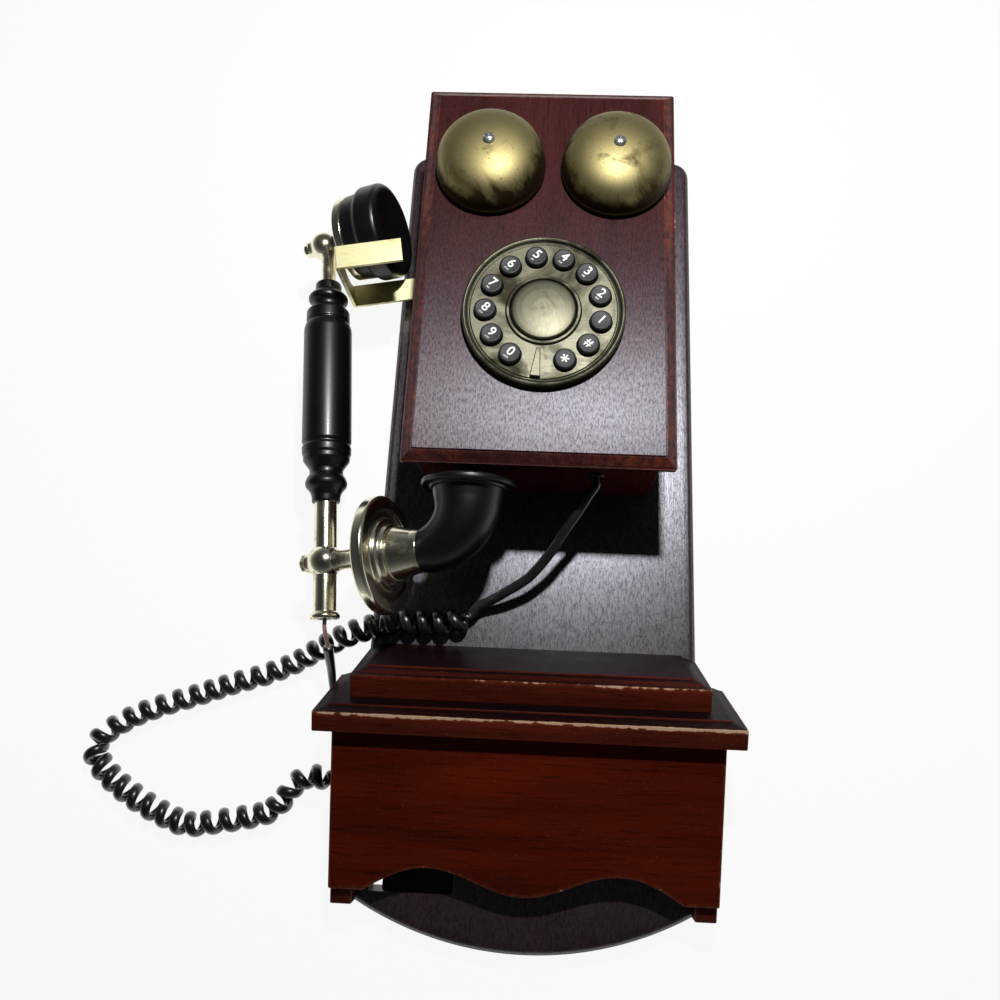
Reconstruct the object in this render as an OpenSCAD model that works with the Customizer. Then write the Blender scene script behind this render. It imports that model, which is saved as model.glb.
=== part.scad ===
// Wall telephone: a wooden case with two gongs and a push-button dial on a tall backboard,
// a sloping desk box below it, and a turned handset with a speaking horn on a sprung hook.
// The telephone lies on its back: +Z is its front, +Y its top, z = 0 the back of the backboard
// and y = 0 the top face of the case.

/* [Backboard] */
// Width of the backboard
board_w = 201; // [192:1:204]
// Thickness of the backboard
board_t = 15; // [12:0.5:18]
// Height of the backboard above the case
board_rise = 20; // [14:1:30]
// Lowest point of the curved foot, below the top of the case
board_drop = 502; // [492:1:515]
// Radius of the curved foot
foot_arc_r = 206; // [170:1:240]
// Radius of the two shoulders
shoulder_r = 12; // [8:1:18]
// Inset of the moulded front edge
board_edge = 4.5; // [2:0.5:6]
// Radius of the hanging hole
hang_hole_r = 2.5; // [2:0.25:3]

/* [Case] */
// Width of the front panel
panel_w = 151.5; // [148:0.5:158]
// Height of the front panel
panel_h = 243.3; // [238:0.1:248]
// Thickness of the front panel
panel_t = 8; // [7:0.5:10]
// Height of the front panel's face above the wall
case_depth = 98; // [92:1:104]
// Thickness of the case's walls
wall_t = 8; // [6:0.5:10]
// Overhang of the front panel at the sides and below
panel_over = 6; // [4:0.1:7]
// Overhang of the front panel above the case
panel_top_over = 3.8; // [2:0.1:6]
// Width of the panel's ogee moulding
ogee_w = 6.5; // [4:0.5:9]
// Depth of the panel's ogee moulding
ogee_d = 4.5; // [2:0.5:6]

/* [Desk box] */
// Width of the lid slab
slab_w = 231; // [226:1:240]
// Thickness of the lid slab
slab_t = 13.3; // [11:0.1:15]
// Distance of the slab's front edge below the top of the case
slab_y = 371.4; // [366:0.2:376]
// Height of the slab's front edge above the wall
slab_z = 73; // [68:0.5:76]
// Slope of the lid
slope = 20; // [17:0.5:21]
// How far each end of the raised panel stands in from the edge of the backboard
block_inset = 1; // [0.5:0.5:5]
// Thickness of the raised panel
block_t = 16.2; // [12:0.2:18]
// Setback of the raised panel from the slab's front edge
block_back = 17; // [12:1:22]
// Width of the apron
apron_w = 214; // [206:1:220]
// Length of the apron along its lean
apron_l = 91; // [86:0.5:94]
// Thickness of the apron
apron_t = 5; // [4:0.5:6]
// Setback of the apron from the slab's front edge
apron_back = 9; // [6:0.5:11]
// Lean of the apron
apron_lean = 17; // [14:0.5:20]
// Height of the scallops in the apron's lower edge
scallop_h = 14; // [8:1:18]
// Distance of the scallop's crest from the middle
scallop_x = 53; // [45:1:60]
// Half width of the scalloped part
scallop_end = 88; // [80:1:92]
// Thickness of the two cheeks
cheek_t = 12; // [9:0.5:15]
// Lowest point of the cheeks, below the top of the case
cheek_drop = 477; // [473:0.5:480]

/* [Gongs] */
// Rim radius of a gong
gong_r = 32.8; // [28:0.2:34]
// Height of a gong's dome
gong_h = 22.5; // [17:0.5:25]
// Wall of a gong
gong_wall = 1.6; // [1:0.1:2.5]
// Gap between the gong's rim and the panel
gong_gap = 3; // [2:0.5:5]
// Distance of each gong from the centre line
gong_x = 37.3; // [35:0.1:38]
// Shift of both gongs to the right
gong_shift = 2.6; // [0:0.1:4]
// Distance of the gongs below the top of the case
gong_y = 55; // [50:1:60]
// Radius of the gong posts
post_r = 4; // [3:0.5:6]
// Shank radius of the gong screws
gong_screw_r = 2; // [1.5:0.1:2.4]

/* [Dial] */
// Radius of the dial plate
dial_r = 46.4; // [45:0.2:48]
// Distance of the dial below the top of the case
dial_y = 150.5; // [146:0.5:155]
// Height of the dial's raised rim
rim_h = 6; // [5:0.5:8]
// Height of the dial's field
field_h = 4; // [3:0.25:4.5]
// Thickness of the dial's field
field_t = 2.5; // [1.5:0.25:3]
// Width of the dial's raised rim
rim_w = 3; // [2:0.25:3.5]
// Radius of the ring of keys
key_ring_r = 33; // [32:0.25:33.5]
// Radius of a key
key_r = 6.2; // [5.5:0.1:6.3]
// Gap around a key
key_gap = 0.3; // [0.2:0.05:0.4]
// Height of a key above the dial's field
key_h = 3.6; // [2.5:0.1:5]
// Travel of a key
key_travel = 1.5; // [1:0.1:2]
// Angle of the first key
first_key_a = -11.7; // [-14:0.1:-10]
// Radius of the centre cap
cap_r = 18.5; // [16:0.25:19.5]
// Height of the centre cap
cap_h = 3; // [2:0.25:4]
// Thickness of the contact mat under the keys
mat_t = 4; // [3:0.25:4.5]
// Thickness of a circuit board
pcb_t = 1.6; // [1:0.2:2.4]

/* [Hook] */
// Height of the brass strap
strap_w = 15; // [13:0.5:15.5]
// Thickness of the brass strap
strap_t = 2; // [1.5:0.1:2.5]
// Distance between the middles of the fork's two arms
fork_gap = 46; // [44:0.5:47]
// Droop of the hook under the handset
hook_droop = 10; // [9:0.5:11]
// Reach of the fork from its pivot
hook_reach = 77; // [76:0.5:78]
// Length of the fork's front arm
front_arm = 41; // [36:1:44]
// Inset of the pivot behind the case's side face
pivot_in = 17.7; // [16:0.1:20]
// Radius of the pivot pin
pin_r = 2; // [1.5:0.1:2.5]
// Running clearance of the pivot
pivot_fit = 0.05; // [0.03:0.01:0.08]
// Bend of the rear arm towards the pivot
jog = 6; // [5:0.5:8]

/* [Handset] */
// Height of the handset's axis above the wall
hs_z = 50; // [48:0.5:51]
// Distance of the handset's tube from the centre line, at the receiver
hs_x = 143.3; // [142:0.1:145]
// Distance of the receiver below the top of the case
hs_y = 79.6; // [78:0.2:81]
// Lean of the hanging handset
hang_tilt = 5.5; // [4.5:0.5:6.5]
// Turn of the handset about its tube
turn = 16; // [14:0.5:17]
// Radius of the upper stem
stem_r = 4.6; // [3.6:0.1:5.4]
// Radius of the lower tube
tube_r = 6.7; // [5.6:0.1:7.2]
// Distance from the receiver's axis to the transmitter's axis
tx_drop = 211; // [208:1:213]
// Length of tube below the transmitter's axis
tube_tail = 33.5; // [30:0.5:35]
// Distance from the receiver's axis to the top of the grip
grip_top = 28.8; // [27:0.2:30]
// Length of the turned grip
grip_l = 146.5; // [142:0.5:148]
// Largest radius of the grip
grip_r = 14.8; // [13:0.1:15.2]
// Assembly clearance of round joints
fit = 0.05; // [0.03:0.01:0.08]
// Radius of the receiver cap
ear_r = 29.2; // [28.5:0.1:29.8]
// Length of the receiver cap
ear_l = 25; // [23:0.5:26]
// Radius of the receiver's brass shell
shell_r = 26; // [24:0.1:26.5]
// Radius of the ball joint at the receiver
ball_r = 9.3; // [8.8:0.1:9.8]
// Offset of that ball from the tube's axis
ball_off = 3; // [1:0.25:3.5]
// Radius of the ball joint at the transmitter
tx_ball_r = 10.4; // [9.6:0.1:11]
// Radius of the transmitter's brass disc
disc_r = 34.2; // [32:0.2:35]
// Radius of the neck where the horn starts
neck_r = 12.3; // [11:0.1:13]
// Bend radius of the speaking horn
horn_bend = 28; // [27:0.1:29]
// Radius of the horn at its rim
horn_r = 20.5; // [18:0.1:21]
// Wall of the horn
horn_wall = 2.3; // [1.6:0.1:3]
// Radius of the horn's rim flange
rim_r = 27; // [25:0.2:27.4]
// Thickness of the horn's rim flange
rim_t = 5; // [4:0.2:5.6]
// Straight length of the horn below its rim
horn_straight = 6; // [4:0.5:6.5]

/* [Cord] */
// Radius of the cord
cord_r = 2.2; // [1.8:0.1:2.4]
// Outer radius of the curly part
coil_r = 7.2; // [6.4:0.1:7.3]
// Radius of the wire that leaves the handset
wire_r = 1.2; // [0.8:0.1:1.6]

/* [Hidden] */
$fn = 64;
seat_gap = 0.3;
wood = [0.36, 0.12, 0.09];
red_wood = [0.42, 0.14, 0.07];
brass = [0.80, 0.68, 0.36];
old_brass = [0.55, 0.44, 0.22];
black = [0.03, 0.03, 0.035];

case_half = panel_w / 2 - panel_over;
case_back_z = board_t;
panel_z = case_depth - panel_t;
case_top_y = 0;
case_low_y = -(panel_h - panel_top_over - panel_over);
shell_start = 10.3;
shell_end = 22;

// ---- points of the desk box, in the plane across its width: u is up its lid, f is its front
function desk_y(u, f) = -slab_y + u * cos(slope) - f * sin(slope);
function desk_z(u, f) = slab_z + u * sin(slope) + f * cos(slope);

module desk_frame()
    translate([0, -slab_y, slab_z]) rotate([slope, 0, 0]) children();

module off_the_board()
    intersection() {
        children();
        translate([-300, -700, board_t]) cube([600, 900, 300]);
    }

// ---- moulded boards: an S-shaped edge cut along each side of a flat board
function s_curve(w, d, n) = [for (i = [0:n]) [w * i / n, -d + (d - 1) * (1 - cos(180 * i / n)) / 2]];

module edge_cutter(len, w, d)
    rotate([90, 0, 90])
        translate([0, 0, -len / 2])
            linear_extrude(height = len)
                polygon(concat([[-1, 1], [-1, -d]], s_curve(w, d, 8), [[w, 1]]));

module moulded_board(w, h, t, ew, ed)
    difference() {
        translate([-w / 2, -h / 2, 0]) cube([w, h, t]);
        for (s = [0, 180]) {
            rotate([0, 0, s]) translate([0, -h / 2, t]) edge_cutter(w + 10, ew, ed);
            rotate([0, 0, s + 90]) translate([0, -w / 2, t]) edge_cutter(h + 10, ew, ed);
        }
    }

// ---- backboard
module board_outline(i) {
    mid_y = -board_drop + foot_arc_r;
    r = shoulder_r;
    translate([-board_w / 2 + i, mid_y]) square([board_w - 2 * i, board_rise - r - mid_y]);
    translate([-board_w / 2 + r, mid_y]) square([board_w - 2 * r, board_rise - i - mid_y]);
    for (s = [-1, 1]) translate([s * (board_w / 2 - r), board_rise - r]) circle(r = r - i);
    intersection() {
        translate([0, mid_y]) circle(r = foot_arc_r - i, $fn = 180);
        translate([-board_w / 2 + i, -board_drop - 1]) square([board_w - 2 * i, foot_arc_r + 2]);
    }
}

window_x = -88;
window_w = 48;
window_y = -472;
window_h = 26;
hang_hole_y = board_rise / 2;

module backboard()
    color(wood)
        difference() {
            union() {
                linear_extrude(height = board_t - 6) board_outline(0);
                translate([0, 0, board_t - 6]) linear_extrude(height = 2.6) board_outline(board_edge * 0.25);
                translate([0, 0, board_t - 3.4]) linear_extrude(height = 2) board_outline(board_edge * 0.6);
                translate([0, 0, board_t - 1.4]) linear_extrude(height = 1.4) board_outline(board_edge);
            }
            translate([window_x, window_y, -1]) cube([window_w, window_h, board_t + 2]);
            translate([0, hang_hole_y, -1]) cylinder(r = hang_hole_r, h = board_t + 2);
        }

// ---- case
case_len = case_top_y - case_low_y;
side_h = panel_z - case_back_z;

module case_side()
    translate([0, case_low_y, case_back_z]) cube([wall_t, case_len, side_h]);

pivot_x = -case_half + pivot_in;
module case_left_side()
    color(wood)
        difference() {
            translate([-case_half, 0, 0]) case_side();
            translate([-case_half - 1, hook_y - slot_down, arm_z - slot_z])
                cube([wall_t + 2, slot_down + slot_up, 2 * slot_z]);
        }

module case_right_side()
    color(wood)
        translate([case_half - wall_t, 0, 0]) case_side();

module case_end(y)
    translate([-case_half + wall_t, y, case_back_z]) cube([2 * (case_half - wall_t), wall_t, side_h]);

module case_top()
    color(wood) case_end(case_top_y - wall_t);

grommet_x = 34;
grommet_z = 60;
grommet_r = 3.5;
module case_bottom()
    color(wood)
        difference() {
            case_end(case_low_y);
            translate([grommet_x, case_low_y - 1, grommet_z])
                rotate([-90, 0, 0]) cylinder(r = grommet_r, h = wall_t + 2);
        }

well_r = dial_r - rim_w - 1.4;
module front_panel()
    color(red_wood)
        difference() {
            translate([0, panel_top_over - panel_h / 2, panel_z]) moulded_board(panel_w, panel_h, panel_t, ogee_w, ogee_d);
            translate([0, -dial_y, panel_z - 1]) cylinder(r = well_r, h = panel_t + 2);
        }

// ---- desk box
block_w = board_w - 2 * block_inset;
lid_edge = 7;
lid_edge_d = 2.5;
block_edge = 8;
block_edge_d = 3.5;
desk_run = (slab_z - board_t) / cos(slope) + block_t + 20;

module desk_slab()
    color(wood)
        off_the_board()
            desk_frame()
                translate([0, -slab_t, -desk_run / 2])
                    rotate([-90, 0, 0]) moulded_board(slab_w, desk_run, slab_t, lid_edge, lid_edge_d);

module desk_raised_panel()
    color(wood)
        off_the_board()
            desk_frame()
                translate([0, 0, -block_back - desk_run / 2])
                    rotate([-90, 0, 0]) moulded_board(block_w, desk_run, block_t, block_edge, block_edge_d);

function scallop(s) = s >= scallop_end ? 0
    : s >= scallop_x ? scallop_h * sin(90 * (scallop_end - s) / (scallop_end - scallop_x))
    : scallop_h * (1 - cos(180 * s / scallop_x)) / 2;

// The apron leans a little less than the lid: its own frame starts under the slab's front edge.
lean_y = desk_y(-slab_t, -apron_back);
lean_z = desk_z(-slab_t, -apron_back);

apron_over = 2;
module desk_apron()
    color(red_wood)
        difference() {
            translate([0, lean_y, lean_z])
                rotate([apron_lean, 0, 0])
                    translate([0, 0, -apron_t])
                        linear_extrude(height = apron_t)
                            polygon(concat([[-apron_w / 2, apron_over], [-apron_w / 2, -apron_l]],
                                [for (k = [-22:22]) let (x = scallop_end * k / 22)
                                    [x, -apron_l + scallop(abs(x))]],
                                [[apron_w / 2, -apron_l], [apron_w / 2, apron_over]]));
            desk_frame() translate([-apron_w, -slab_t, -slab_z]) cube([2 * apron_w, 2 * slab_t, 2 * slab_z]);
        }

cheek_f = -apron_back - apron_t / cos(slope - apron_lean);
cheek_top_f = (board_t - slab_z + slab_t * sin(slope)) / cos(slope);
foot_v = (-cheek_drop - lean_y - apron_t * sin(apron_lean)) / cos(apron_lean);
foot_z = lean_z + foot_v * sin(apron_lean) - apron_t * cos(apron_lean);

module cheek()
    rotate([90, 0, 90])
        linear_extrude(height = cheek_t)
            polygon([[desk_y(-slab_t, cheek_top_f), board_t], [desk_y(-slab_t, cheek_f), desk_z(-slab_t, cheek_f)],
                [-cheek_drop, foot_z], [-cheek_drop, board_t]]);

module desk_left_cheek()
    color(wood) translate([-apron_w / 2, 0, 0]) cheek();

module desk_right_cheek()
    color(wood) translate([apron_w / 2 - cheek_t, 0, 0]) cheek();

jack_w = 34;
jack_d = 20;
jack_h = 14;
module line_jack()
    color(black)
        translate([window_x + window_w - jack_w, window_y + window_h - jack_d, 0.5])
            difference() {
                cube([jack_w, jack_d, jack_h]);
                translate([jack_w / 2 - 6, -1, 3]) cube([12, 13, 8]);
            }

// ---- gongs
gong_rim_z = case_depth + gong_gap;
gong_top_z = gong_rim_z + gong_h;

function dome(r, h, n) = [for (i = [0:n]) [gong_screw_r + 0.4 + (r - gong_screw_r - 0.4) * sin(90 * i / n),
    h * pow(cos(90 * i / n), 0.8)]];

module gong()
    rotate_extrude()
        polygon(concat(dome(gong_r - 0.8, gong_h, 12), [[gong_r, 0.8], [gong_r, -0.4], [gong_r - gong_wall, -0.4]],
            [for (k = [12:-1:0]) dome(gong_r - gong_wall, gong_h - gong_wall, 12)[k]]));

module gong_at(s)
    translate([gong_shift + s * gong_x, -gong_y, gong_rim_z]) gong();

module gong_post(s)
    translate([gong_shift + s * gong_x, -gong_y, case_depth])
        difference() {
            cylinder(r = post_r, h = gong_gap + gong_h - gong_wall);
            translate([0, 0, gong_gap + gong_h - gong_wall - 8]) cylinder(r = gong_screw_r + fit, h = 9);
        }

module gong_screw(s)
    translate([gong_shift + s * gong_x, -gong_y, gong_top_z])
        difference() {
            union() {
                translate([0, 0, -gong_wall - 6]) cylinder(r = gong_screw_r, h = gong_wall + 6.5);
                rotate_extrude() polygon([[0, 0], [3.6, 0], [3.4, 0.9], [2.4, 1.8], [1, 2.2], [0, 2.3]]);
            }
            for (a = [0, 90]) rotate([0, 0, a]) translate([-2.4, -0.4, 1.3]) cube([4.8, 0.8, 2]);
        }

module gong_left() color(old_brass) gong_at(-1);
module gong_right() color(old_brass) gong_at(1);
module gong_post_left() color(brass) gong_post(-1);
module gong_post_right() color(brass) gong_post(1);
module gong_screw_left() color(brass) gong_screw(-1);
module gong_screw_right() color(brass) gong_screw(1);

// ---- dial and keys
key_slots = 13;
stop_slot = 10;
function key_angle(i) = first_key_a + 360 / key_slots * i;
flange_r = key_r + 1.2;

module dial_frame()
    translate([0, -dial_y, case_depth]) children();

module at_key(i)
    dial_frame() rotate([0, 0, key_angle(i)]) translate([key_ring_r, 0, 0]) children();

field_in = dial_r - rim_w;
module dial_plate()
    color(old_brass)
        difference() {
            dial_frame()
                rotate_extrude($fn = 96)
                    polygon([[0, field_h - field_t], [well_r - 0.5, field_h - field_t], [well_r - 0.5, 0],
                        [dial_r, 0], [dial_r, rim_h - 1.2], [dial_r - 0.6, rim_h - 0.3],
                        [dial_r - rim_w / 2, rim_h], [field_in + 0.4, rim_h - 0.6], [field_in, field_h],
                        [field_in - 1.2, field_h - 0.6], [field_in - 2, field_h], [cap_r + 3, field_h],
                        [cap_r + 2.4, field_h + 1.4], [cap_r + 0.9, field_h + 1.4], [cap_r + fit, field_h],
                        [0, field_h]]);
            for (i = [0:key_slots - 1])
                if (i != stop_slot)
                    at_key(i) translate([0, 0, -1]) cylinder(r = key_r + key_gap, h = rim_h + 2, $fn = 40);
        }

module dial_centre_cap()
    color(old_brass)
        dial_frame()
            translate([0, 0, field_h])
                rotate_extrude($fn = 72)
                    polygon([[0, 0], [cap_r, 0], [cap_r, cap_h * 0.5], [cap_r - 0.8, cap_h * 0.85],
                        [cap_r * 0.7, cap_h * 0.97], [0, cap_h]]);

stop_in = cap_r + 5.5;
module finger_stop()
    color(old_brass)
        dial_frame()
            rotate([0, 0, key_angle(stop_slot)])
                translate([0, 0, field_h])
                    linear_extrude(height = 2.2)
                        polygon([[stop_in, -1.2], [field_in - 2.4, -3], [field_in - 2.4, 3], [stop_in, 1.2]]);

mat_low = -panel_t;
module keypad_mat()
    color([0.2, 0.2, 0.2])
        dial_frame() translate([0, 0, mat_low]) cylinder(r = well_r - 0.5, h = mat_t);

module keypad_board()
    color([0.1, 0.3, 0.15])
        dial_frame() translate([0, 0, mat_low - pcb_t]) cylinder(r = well_r + 6, h = pcb_t);

flange_top = field_h - field_t;
flange_t = 1;
module key(i)
    color(black)
        at_key(i) {
            rotate_extrude($fn = 40)
                polygon([[0, flange_top - flange_t], [flange_r, flange_top - flange_t],
                    [flange_r, flange_top], [key_r, flange_top], [key_r, field_h + key_h - 1],
                    [key_r - 0.6, field_h + key_h - 0.3], [key_r - 1.6, field_h + key_h],
                    [0, field_h + key_h - 0.3]]);
            translate([0, 0, mat_low + mat_t + key_travel + 0.2])
                cylinder(r = 2.4, h = flange_top - flange_t - mat_low - mat_t - key_travel);
        }

module key_1() key(0);
module key_2() key(1);
module key_3() key(2);
module key_4() key(3);
module key_5() key(4);
module key_6() key(5);
module key_7() key(6);
module key_8() key(7);
module key_9() key(8);
module key_0() key(9);
module key_star() key(11);
module key_hash() key(12);

board_post = 6;
post_round = 3;
circuit_w = 90;
circuit_h = 60;
circuit_drop = 20;
post_x = circuit_w / 2 - 2 * post_round;
post_y = circuit_h / 2 - 2 * post_round;
module main_board()
    color([0.1, 0.3, 0.15])
        translate([0, -dial_y - circuit_drop, board_t]) {
            translate([-circuit_w / 2, -circuit_h / 2, board_post]) cube([circuit_w, circuit_h, pcb_t]);
            for (x = [-post_x, post_x], y = [-post_y, post_y])
                translate([x, y, 0]) cylinder(r = post_round, h = board_post);
        }

// ---- hook: the strap is drawn level about its pivot, then turned by the droop
ear_end = shell_end + ear_l;
touch_l = ear_end - 3;
fork_l = ear_end - 10;
fork_z = hs_z + fork_l * sin(turn);
arm_rear = fork_z - fork_gap / 2;
arm_front = fork_z + fork_gap / 2;
arm_z = arm_rear + jog;
rest_r = sqrt(ear_r * ear_r - pow(fork_gap / 2 - strap_t / 2 - (touch_l - fork_l) * sin(turn), 2));
touch_x = -hs_x + touch_l * cos(turn) * cos(hang_tilt);
touch_y = -hs_y + touch_l * cos(turn) * sin(hang_tilt) - rest_r - seat_gap;
touch_arm = (pivot_x - touch_x - strap_w / 2 * sin(hook_droop)) / cos(hook_droop);
hook_y = touch_y + touch_arm * sin(hook_droop) - strap_w / 2 * cos(hook_droop);
slot_down = strap_w / 2 + 5.4;
slot_up = strap_w / 2 + 1.4;
slot_z = strap_t / 2 + 1.5;

module hook_frame()
    translate([pivot_x, hook_y, 0]) rotate([0, 0, hook_droop]) children();

jog_x = 34;
module strap_bar()
    rotate([90, 0, 0])
        translate([0, 0, -strap_w / 2])
            linear_extrude(height = strap_w)
                polygon([[-hook_reach + front_arm, arm_front + strap_t / 2],
                    [-hook_reach + 1, arm_front + strap_t / 2],
                    [-hook_reach, arm_front + strap_t / 2 - 1],
                    [-hook_reach, arm_rear - strap_t / 2 + 1],
                    [-hook_reach + 1, arm_rear - strap_t / 2],
                    [-jog_x + strap_t * 0.4, arm_rear - strap_t / 2],
                    [-jog_x + jog + strap_t * 0.4, arm_z - strap_t / 2],
                    [0, arm_z - strap_t / 2], [0, arm_z + strap_t / 2],
                    [-jog_x + jog, arm_z + strap_t / 2], [-jog_x, arm_rear + strap_t / 2],
                    [-hook_reach + strap_t, arm_rear + strap_t / 2],
                    [-hook_reach + strap_t, arm_front - strap_t / 2],
                    [-hook_reach + front_arm, arm_front - strap_t / 2]]);

// A round notch in the fork's end clears the receiver's brass shell.
module hook_strap()
    color(brass)
        difference() {
            hook_frame() {
                strap_bar();
                translate([0, 0, arm_z - strap_t / 2]) cylinder(r = strap_w / 2, h = strap_t);
            }
            hook_frame() translate([0, 0, arm_z - strap_t]) cylinder(r = pin_r + pivot_fit, h = 2 * strap_t);
            handset_frame() translate([shell_start - 2, 0, 0]) along_x() cylinder(r = shell_r + 2, h = 14);
        }

ear_gap = 0.3;
ear_t = 1.6;
ear_low = arm_z - strap_t / 2 - ear_gap - ear_t;
ear_high = arm_z + strap_t / 2 + ear_gap;
plate_t = 1.6;
plate_x = -case_half + wall_t;
module hook_bracket()
    color(brass)
        difference() {
            union() {
                translate([plate_x, hook_y - slot_down - 6, ear_low - 6])
                    cube([plate_t, slot_down + slot_up + 12, ear_high + ear_t - ear_low + 12]);
                for (z = [ear_low, ear_high]) {
                    translate([plate_x, hook_y - 6, z]) cube([pivot_x - plate_x, 12, ear_t]);
                    translate([pivot_x, hook_y, z]) cylinder(r = 6, h = ear_t);
                }
            }
            translate([plate_x - 1, hook_y - slot_down, ear_low + ear_t])
                cube([plate_t + 2, slot_down + slot_up, ear_high - ear_low - ear_t]);
            translate([pivot_x, hook_y, ear_low - 1]) cylinder(r = pin_r + fit, h = ear_high - ear_low + 4);
        }

module hook_pivot_pin()
    color(brass)
        translate([pivot_x, hook_y, 0]) {
            translate([0, 0, ear_low - 0.5]) cylinder(r = pin_r, h = ear_high + ear_t - ear_low + 0.5);
            translate([0, 0, ear_high + ear_t]) cylinder(r = pin_r + 1.2, h = 1);
        }

// ---- handset: drawn upright, its tube along Y, the receiver's axis along X at y = 0
module handset_frame()
    translate([-hs_x, -hs_y, hs_z]) rotate([0, 0, hang_tilt]) rotate([0, -turn, 0]) children();

module along_y() rotate([-90, 0, 0]) children();
module along_x() rotate([0, 90, 0]) children();

stem_top = 3;
grip_low = -grip_top - grip_l;
tube_end = -tx_drop - tube_tail;
module handset_tube()
    color(brass)
        handset_frame()
            difference() {
                along_y()
                    rotate_extrude()
                        polygon([[0, tube_end], [tube_r + 1.6, tube_end], [tube_r + 2.1, tube_end + 1],
                            [tube_r + 2.1, tube_end + 2], [tube_r + 1.2, tube_end + 3.4], [tube_r, tube_end + 4.2],
                            [tube_r, grip_low + 12], [stem_r, grip_low + 12], [stem_r, stem_top], [0, stem_top]]);
                translate([0, tube_end - 1, 0]) along_y() cylinder(r = bush_r + fit, h = bush_l + 1);
            }

bush_r = 4.5;
bush_l = 6;
module handset_bush()
    color(black)
        handset_frame() translate([0, tube_end, 0]) along_y() cylinder(r = bush_r, h = bush_l - 0.05);

g = grip_l / 143;
module handset_grip()
    color(black)
        handset_frame()
            along_y()
                difference() {
                    rotate_extrude()
                        polygon([for (p = [[0, 0], [7.6, 0], [8.1, 1], [8.3, 6.5], [10.8, 8], [12.4, 10],
                            [12.2, 12.4], [10, 14.6], [9.4, 16.6], [9.8, 18.4], [12.6, 19.6], [13.4, 20.4],
                            [13.4, 26.8], [12.9, 27.2], [12.9, 28.2], [grip_r - 0.6, 30], [grip_r, 33],
                            [grip_r, 106], [grip_r - 0.8, 107.2], [grip_r - 0.8, 108.4], [grip_r, 109.4],
                            [grip_r - 0.2, 113.6], [grip_r - 0.9, 114.4], [grip_r - 0.9, 117.5],
                            [11.6, 120.6], [9.9, 123], [9.9, 126], [11.6, 128.6], [12.5, 131.2], [12, 133.6],
                            [9.6, 136.2], [8.5, 139], [8.2, 143], [0, 143]]) [p[0], -grip_top - p[1] * g]]);
                    translate([0, 0, grip_low - 1]) cylinder(r = tube_r + fit, h = 13);
                    translate([0, 0, grip_low]) cylinder(r = stem_r + fit, h = grip_l + 1);
                }

nut_h = 3.6;
module ball_clamp(r, off, bore, through, reach, boss)
    difference() {
        union() {
            translate([-off, 0, 0]) sphere(r = r);
            translate([-off, 0, 0]) along_x() cylinder(r = r * 0.66, h = off + reach);
            translate([-off, 0, 0]) rotate([0, -90, 0]) cylinder(r = r * 0.56, h = r + boss);
        }
        translate([0, -r - 20, 0]) along_y() cylinder(r = bore + fit, h = r + 20 + through);
    }

module receiver_clamp()
    color(brass) handset_frame() ball_clamp(ball_r, ball_off, stem_r, stem_top + fit, shell_start, 1.2);

module nut(r)
    rotate([0, -90, 0]) {
        cylinder(r = r, h = nut_h - 1, $fn = 6);
        translate([0, 0, nut_h - 1]) cylinder(r = r * 0.7, h = 1);
    }

module receiver_nut()
    color(brass) handset_frame() translate([-ball_off - ball_r - 1.2, 0, 0]) nut(5);

module receiver_shell()
    color(brass)
        handset_frame()
            along_x()
                rotate_extrude()
                    polygon([[0, shell_start], [7, shell_start], [9, shell_start + 1], [13.5, shell_start + 1.6],
                        [17.5, shell_start + 2.8], [21, shell_start + 4.6], [shell_r - 1, shell_start + 6.2],
                        [shell_r, shell_start + 6.4], [shell_r, shell_end], [0, shell_end]]);

dish = 4.5;
module receiver_cap()
    color(black)
        handset_frame()
            difference() {
                along_x()
                    rotate_extrude()
                        polygon([[capsule_r + fit, shell_end], [shell_r - 0.6, shell_end], [shell_r, shell_end + 0.6],
                            [shell_r + 0.6, shell_end + 9], [ear_r - 0.6, shell_end + 10.5], [ear_r, shell_end + 12],
                            [ear_r, ear_end - 2.6], [ear_r - 0.8, ear_end - 0.8], [ear_r - 2.4, ear_end],
                            [ear_r - 4.5, ear_end], [14, ear_end - dish * 0.7], [0, ear_end - dish],
                            [0, ear_end - dish - 2.5], [capsule_r + fit, ear_end - dish - 2.5]]);
                for (k = [0:6])
                    rotate([k * 60, 0, 0]) translate([ear_end - 9, 0, k == 6 ? 0 : 5])
                        along_x() cylinder(r = 1.2, h = 10, $fn = 16);
            }

capsule_r = 21;
module receiver_capsule()
    color([0.5, 0.5, 0.5])
        handset_frame()
            translate([shell_end, 0, 0]) along_x() cylinder(r = capsule_r, h = ear_l - dish - 2.5);

disc_x = 29.5;
e = disc_r / 34.2;
arm_end = disc_x - 8 * e;
module transmitter_clamp()
    color(brass)
        handset_frame()
            translate([0, -tx_drop, 0]) ball_clamp(tx_ball_r, 0, tube_r, tx_ball_r + 20, arm_end, 1.2);

module transmitter_nut()
    color(brass) handset_frame() translate([-tx_ball_r - 1.2, -tx_drop, 0]) nut(5.6);

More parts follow.
